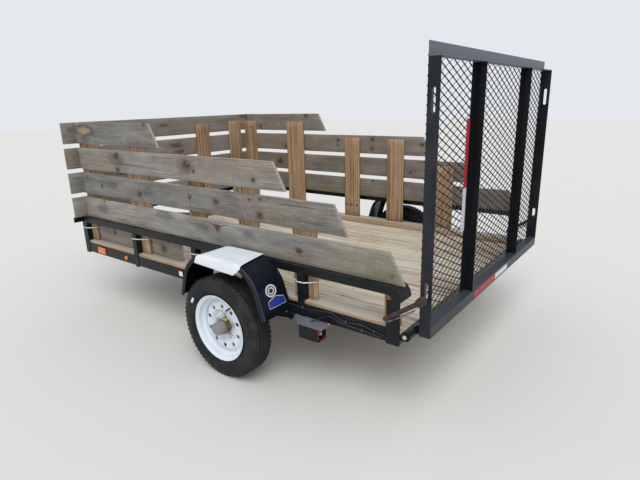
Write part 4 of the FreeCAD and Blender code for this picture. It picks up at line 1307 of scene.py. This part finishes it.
paperLook = {
    # each fold's front and rear end, from the rail out over the lip and down
    "folds": (
        ((-0.745, 0.8355, 0.6285), (-1.033, 0.8355, 0.6420)),
        ((-0.748, 0.900, 0.6285), (-1.040, 0.900, 0.6390)),
        ((-0.751, 0.960, 0.6290), (-1.048, 0.960, 0.6370)),
        ((-0.752, 1.004, 0.6335), (-1.055, 1.000, 0.6360)),
        ((-0.752, 1.016, 0.6335), (-1.058, 1.012, 0.6350)),
        ((-0.752, 1.0235, 0.6300), (-1.060, 1.0225, 0.6300)),
        ((-0.750, 1.0285, 0.6220), (-1.060, 1.0265, 0.6200)),
        ((-0.748, 1.0315, 0.6100), (-1.040, 1.0300, 0.6020)),
        ((-0.745, 1.0330, 0.5990), (-1.018, 1.0330, 0.5850)),
    ),
    "steps": 16, "ripple": 0.0012, "skin": (0, 0.0001, 0.0004), "sharp": 60.0,
    "lift": 0.0030, "lipLift": 0.0050, "lipStarts": 1.002, "lipFalls": 1.018, "hangs": 1.024,
}


def paperPoint(first, second, share, fold):
    # a point of one fold, kept above the fender as far as the lip
    look = paperLook
    point = Vector(first).lerp(Vector(second), share)
    point.z += look["ripple"] * noise.noise(Vector((share * 5, fold * 0.5, 2.0)))
    if point.y < look["hangs"]:
        away = max(0.0, abs(point.x - fenderLook["x"]) - fenderLook["flat"])
        bend = fenderLook["bend"]
        surface = fenderLook["top"] - bend + math.sqrt(bend * bend - away * away)
        lift = look["lipLift"] if point.y > look["lipStarts"] else look["lift"]
        point.z = max(point.z, surface + lift - max(0.0, point.y - look["lipFalls"]) * 0.6)
    return point


def paperSheet():
    skin = Vector(paperLook["skin"])
    rings = []
    for i in range(paperLook["steps"] + 1):
        line = [paperPoint(*ends, i / paperLook["steps"], k) for k, ends in enumerate(paperLook["folds"])]
        rings.append(line + [point + skin for point in reversed(line)])
    makeShell("paper_sheet", rings, "trailer", paperWhite, paperLook["sharp"])


fenderLips()
roundSticker()
houseSticker()
paperSheet()


# Wheel trifles: a pale slip stuck on the side wall, a bare label round the hub's barrel, valves
slipLook = {"turn": 32.4, "reach": 0.211, "deep": 0.0065, "wide": 0.0160, "faces": (0.0600, 0.0628)}
labelLook = {"turn": 52, "sweep": 70, "steps": 8,
             "section": ((0.0398, 0.008), (0.0398, 0.026), (0.0405, 0.026), (0.0405, 0.008))}
valveLook = {
    "turn": 118, "reach": 0.128, "face": 0.972, "lean": 0.25,
    "profile": ((0.0075, 0.0), (0.0065, 0.006), (0.0042, 0.009), (0.0040, 0.026), (0.0050, 0.027),
                (0.0050, 0.036), (0.0030, 0.038)),
}


def tyreSlip():
    turn = math.radians(slipLook["turn"])
    out = spoke(turn)
    along = Vector((-math.sin(turn), 0, math.cos(turn)))
    rings = [[wheelCentre(1) + Vector((0, y, 0)) + out * (slipLook["reach"] + a * slipLook["deep"])
              + along * (b * slipLook["wide"]) for a, b in squareCorners] for y in slipLook["faces"]]
    makeShell("tyre_slip", rings, "wheel_left", paperWhite)


def hubLabel():
    rings = []
    for i in range(labelLook["steps"] + 1):
        out = spoke(math.radians(labelLook["turn"] + labelLook["sweep"] * i / labelLook["steps"]))
        rings.append([wheelCentre(1) + out * reach + Vector((0, y, 0)) for reach, y in labelLook["section"]])
    makeShell("hub_label", rings, "wheel_left", limeLabel)


def valves():
    out = spoke(math.radians(valveLook["turn"]))
    for side, sign in bothSides:
        foot = Vector((wheelSize["x"], sign * valveLook["face"], wheelSize["z"])) + out * valveLook["reach"]
        lean = (Vector((0, sign, 0)) - out * valveLook["lean"]).normalized()
        makeTurned("valve_" + side, valveLook["profile"], foot, lean, 12, "wheel_" + side,
                   finishes["tyre"])


tyreSlip()
hubLabel()
valves()


# Reflective tape beside the near middle post, a little rippled, and on the bottom bar
tapeLook = {"y": (0.3735, 0.4095), "x": -1.8568, "steps": 8, "ripple": 0.0012,
            "redBar": (0.0, 0.307), "whiteBar": (-0.205, 0.0)}


def postTape(name, material, low, high):
    near, far = tapeLook["y"]
    x = tapeLook["x"]
    rings = []
    for i in range(tapeLook["steps"] + 1):
        z = low + (high - low) * i / tapeLook["steps"]
        ripple = noise.noise(Vector((z * 9, 1.0, 0))) * tapeLook["ripple"]
        rings.append([(x, near + ripple, z), (x + 0.0006 + ripple, far + ripple, z),
                      (x + 0.0012 + ripple, far + ripple, z), (x + 0.0006, near + ripple, z)])
    makeShell(name, rings, "ramp_gate", material)


postTape("tape_red", tapeRed, 0.969, 1.268)
postTape("tape_white", tapeWhite, 0.770, 0.969)


def gateSteel():
    # black paint with the bottom bar's red and white tape, by position, and a painted sky reflection in
    # bluish grey on the bar's upward faces
    material, place = startMaterial("gateSteel")
    x, y, z = axes(place)
    band = x.step(-1.9006, -1.9012) * z.step(0.4265, 0.4275) * z.step(0.4565, 0.4555)
    redStart, redEnd = tapeLook["redBar"]
    whiteEnd, whiteStart = tapeLook["whiteBar"]
    red = band * y.step(redStart, redStart + 0.001) * y.step(redEnd, redEnd - 0.001)
    white = band * y.step(whiteStart, whiteStart - 0.001) * y.step(whiteEnd, whiteEnd + 0.001)
    up = surfaceNormal(place).axis("Z").step(0.5, 0.95)
    cloud = place.noise(steelLook["clouds"], 5.0, 0.6)
    fleck = place.noise(steelLook["flecks"], 2.0)
    # dusty: light dust in clouds, plus a painted sky reflection in bluish grey on the upward faces below
    # 0.47 m
    dusty = cloud.step(0.3, 0.72) * 0.12 + up * z.step(0.47, 0.46) * 0.8
    tint = red.mix(dusty.mix(steelLook["black"], rgb(0.13, 0.155, 0.20)), tapeColours["red"])
    height = (red + white) * 0.6 + place.cells(tapeCells) * (red + white) * 0.2 + fleck * 0.1
    return finishMaterial(material, place, {
        "Base Color": white.mix(tint, tapeColours["barWhite"]), "Roughness": 0.3 + cloud * 0.15,
        "Specular IOR Level": 0.25,
        "Normal": height.bump(steelLook["depth"], softEdge(place, steelLook["edge"]))})


nodes["gate_frame"].data.materials[0] = gateSteel()


# Wiring along the left rail, clipped to it, and what is left of the broken lamp
def smoothPath(points, steps=5):
    points = [Vector(p) for p in points]
    path = []
    for i in range(len(points) - 1):
        a = points[max(i - 1, 0)]
        b = points[i]
        c = points[i + 1]
        d = points[min(i + 2, len(points) - 1)]
        for k in range(steps):
            t = k / steps
            path.append(0.5 * (2 * b + (c - a) * t + (2 * a - 5 * b + 4 * c - d) * t * t
                               + (3 * b - 3 * c + d - a) * t ** 3))
    return path + [points[-1]]

wireLook = {
    "radius": 0.0026, "sides": 8,
    "paths": (
        ((-1.03, 0.8348, 0.427), (-1.15, 0.8350, 0.418), (-1.30, 0.8352, 0.414), (-1.38, 0.8358, 0.424),
         (-1.43, 0.8358, 0.429), (-1.47, 0.8354, 0.416), (-1.51, 0.8352, 0.404), (-1.56, 0.8354, 0.409),
         (-1.60, 0.8354, 0.413), (-1.65, 0.8352, 0.402), (-1.71, 0.8352, 0.392)),
        ((-1.335, 0.862, 0.3705), (-1.355, 0.850, 0.379), (-1.39, 0.8395, 0.395), (-1.43, 0.8390, 0.412),
         (-1.475, 0.8395, 0.400), (-1.53, 0.8352, 0.391), (-1.62, 0.8352, 0.388), (-1.70, 0.8352, 0.380)),
    ),
}
clipLook = {
    "foot": 0.8322, "side": 0.8372, "top": 0.8384, "reach": 0.0045, "bend": 0.0040, "half": 0.0035,
    "places": ((-1.10, 0.4215), (-1.27, 0.4145), (-1.515, 0.4045), (-1.66, 0.4000), (-1.60, 0.3885)),
}
bulbProfile = ((0.0075, 0.0), (0.0080, 0.010), (0.0060, 0.013), (0.0085, 0.018), (0.0105, 0.024),
               (0.0090, 0.031), (0.0045, 0.035), (0.0010, 0.0360))
# shards stand in the lamp's frame: y, z, width, height
shardPlaces = ((0.8475, 0.3045, 0.010, 0.010), (0.8600, 0.3035, 0.012, 0.006),
               (0.8960, 0.3100, 0.008, 0.020), (0.8780, 0.3030, 0.014, 0.005))
shardFaces = (-1.4062, -1.4040)
# small blocks: name, low corner, high corner, edge, slot, material
blockPieces = (
    ("amber_chip", (-1.4290, 0.8350, 0.3682), (-1.4190, 0.8440, 0.3745), 0.0015, "amber_lens",
     finishes["amber_lens"]),
    ("rail_label", (-0.364, 0.8320, 0.386), (-0.331, 0.8328, 0.4145), 0.0003, "white_rim", paperWhite),
    ("rail_label_strip", (-0.364, 0.8320, 0.4145), (-0.331, 0.8329, 0.4205), 0.0003, "red_lens", tapeRed),
)


def railWiring():
    wires = Shape()
    for path in wireLook["paths"]:
        wires.tube(smoothPath(path), wireLook["radius"], wireLook["sides"])
    makePiece("rail_wiring", wires, "trailer", cableGrey)
    clips = Shape()
    section = ((clipLook["foot"], clipLook["reach"]), (clipLook["side"], clipLook["bend"]),
               (clipLook["top"], 0), (clipLook["side"], -clipLook["bend"]),
               (clipLook["foot"], -clipLook["reach"]))
    for x, z in clipLook["places"]:
        clips.tube([(x, y, z + rise) for y, rise in section], clipLook["half"], 6, flat=0.25, up=(1, 0, 0))
    makePiece("wiring_clips", clips, "trailer", finishes["zinc"])


def lampRemains():
    for side, sign in bothSides:
        makeTurned("bulb_" + side, bulbProfile, (-1.368, sign * 0.868, 0.328), (-1, 0, 0), 16,
                   "trailer", bulbGlass)
    shards = Shape()
    for y, z, wide, tall in shardPlaces:
        shards.rings([[(x, y - wide / 2, z), (x, y + wide / 2, z), (x, y + wide * 0.2, z + tall)]
                      for x in shardFaces])
    makePiece("lens_shards", shards, "trailer", finishes["red_lens"])


railWiring()
lampRemains()
for name, low, high, edge, slotName, material in blockPieces:
    shape = Shape()
    shape.block(low, high, edge)
    makePiece(name, shape, "trailer", material)


# Caps on the hinge pins, and the latches' second rods
pinCapProfile = ((0.0090, 0.0), (0.0096, 0.0012), (0.0092, 0.0030), (0.0070, 0.0040), (0.0030, 0.0043))
rodLook = {"radius": 0.0033, "sides": 8, "path": ((-1.728, 0.8425, 0.466), (-1.770, 0.8430, 0.490),
                                                  (-1.820, 0.8430, 0.524), (-1.852, 0.8425, 0.548))}
for side, sign in bothSides:
    makeTurned("pin_cap_" + side, pinCapProfile, (-1.80625, sign * 0.8350, 0.412), (0, sign, 0), 20,
               "ramp_gate", capPaint)
    rod = Shape()
    rod.tube(smoothPath([(x, sign * y, z) for x, y, z in rodLook["path"]]), rodLook["radius"],
             rodLook["sides"])
    makePiece("latch_rod_" + side, rod, "trailer", rodSteel)


# Tongue: bolts through the plates, a ribbed grip on the crank and a grease cap on the jack
tongueLook = {
    "bolts": ((1.508, 0.125), (1.592, 0.088), (1.650, 0.062), (1.700, 0.040)), "boltZ": 0.3763,
    "grip": (1.54975, 0.1055, 0.613), "gripRibs": 9, "ribPitch": 0.009, "gripLength": 0.0855,
    "barrel": 0.0134, "rib": 0.0172, "groove": 0.0158,
    "ribShape": (("rib", 0.003), ("rib", 0.008), ("groove", 0.0095)),
    "cap": (1.54975, 0.0, 0.775),
    "capProfile": ((0.0175, -0.0005), (0.0175, 0.0035), (0.0150, 0.0065), (0.0090, 0.0088),
                   (0.0020, 0.0096)),
}


def tongueTrifles():
    look = tongueLook
    spots = [((x, side * y, look["boltZ"]), (0, 0, 1), (1, 0.2 * side, 0)) for side in (1, -1)
             for x, y in look["bolts"]]
    setCopies("tongue_bolts", "trailer", finishes["zinc"], boltHead, spots)
    profile = [(look["barrel"], 0.0)]
    for k in range(look["gripRibs"]):
        profile += [(look[part], k * look["ribPitch"] + place) for part, place in look["ribShape"]]
    profile.append((look["barrel"], look["gripLength"]))
    makeTurned("crank_grip", profile, look["grip"], (0, 1, 0), 20, "trailer", gripRubber)
    makeTurned("jack_cap", look["capProfile"], look["cap"], (0, 0, 1), 20, "trailer",
               finishes["zinc"])


tongueTrifles()
print("stage: small pieces made")


# The camera stands where the photograph was taken from
cameraView = {
    "place": (-2.63270, 2.47359, 1.35223),
    "yaw": -52.648,
    "pitch": 15.910,
    "roll": -1.446,
    "focalPixels": 485.71,
    "framePixels": 640,
    "sensor": 36.0,
    "farthest": 100.0,
}


def makeCamera():
    yaw = math.radians(cameraView["yaw"])
    pitch = math.radians(cameraView["pitch"])
    roll = math.radians(cameraView["roll"])
    ahead = Vector((math.cos(pitch) * math.cos(yaw), math.cos(pitch) * math.sin(yaw), -math.sin(pitch)))
    level = Vector((math.sin(yaw), -math.cos(yaw), 0))
    above = level.cross(ahead)
    right = math.cos(roll) * level + math.sin(roll) * above
    up = -math.sin(roll) * level + math.cos(roll) * above
    data = bpy.data.cameras.new("camera")
    data.sensor_width = cameraView["sensor"]
    data.lens = cameraView["focalPixels"] * cameraView["sensor"] / cameraView["framePixels"]
    data.clip_end = cameraView["farthest"]
    camera = bpy.data.objects.new("camera", data)
    turn = Matrix((right, up, -ahead)).transposed().to_4x4()
    camera.matrix_world = Matrix.Translation(cameraView["place"]) @ turn
    bpy.context.scene.collection.objects.link(camera)
    bpy.context.scene.camera = camera


studio = {
    "floorColour": rgb(0.66, 0.645, 0.615), "floorSize": 60.0, "skyColour": rgb(0.92, 0.95, 1.0),
    "skyStrength": 0.85, "sunStrength": 1.55, "sunSpread": 0.7, "sunTurn": (37.0, 0.0, 216.0),
}


def makeStudio():
    bpy.ops.mesh.primitive_plane_add(size=studio["floorSize"])
    floor = bpy.context.object
    floor.name = "floor"
    floor.data.materials.append(plainGloss("paleFloor", studio["floorColour"], 0.85, 30.0, 0.0002, 0.0))
    world = bpy.data.worlds.new("studio")
    bpy.context.scene.world = world
    world.use_nodes = True
    background = world.node_tree.nodes["Background"].inputs
    background["Color"].default_value = studio["skyColour"]
    background["Strength"].default_value = studio["skyStrength"]
    lamp = bpy.data.lights.new("softLamp", "SUN")
    lamp.energy = studio["sunStrength"]
    lamp.angle = studio["sunSpread"]
    lampObject = bpy.data.objects.new("softLamp", lamp)
    lampObject.rotation_euler = [math.radians(angle) for angle in studio["sunTurn"]]
    bpy.context.scene.collection.objects.link(lampObject)
    bpy.context.scene.view_settings.view_transform = "Standard"


makeCamera()
makeStudio()
print("stage: camera and light set")
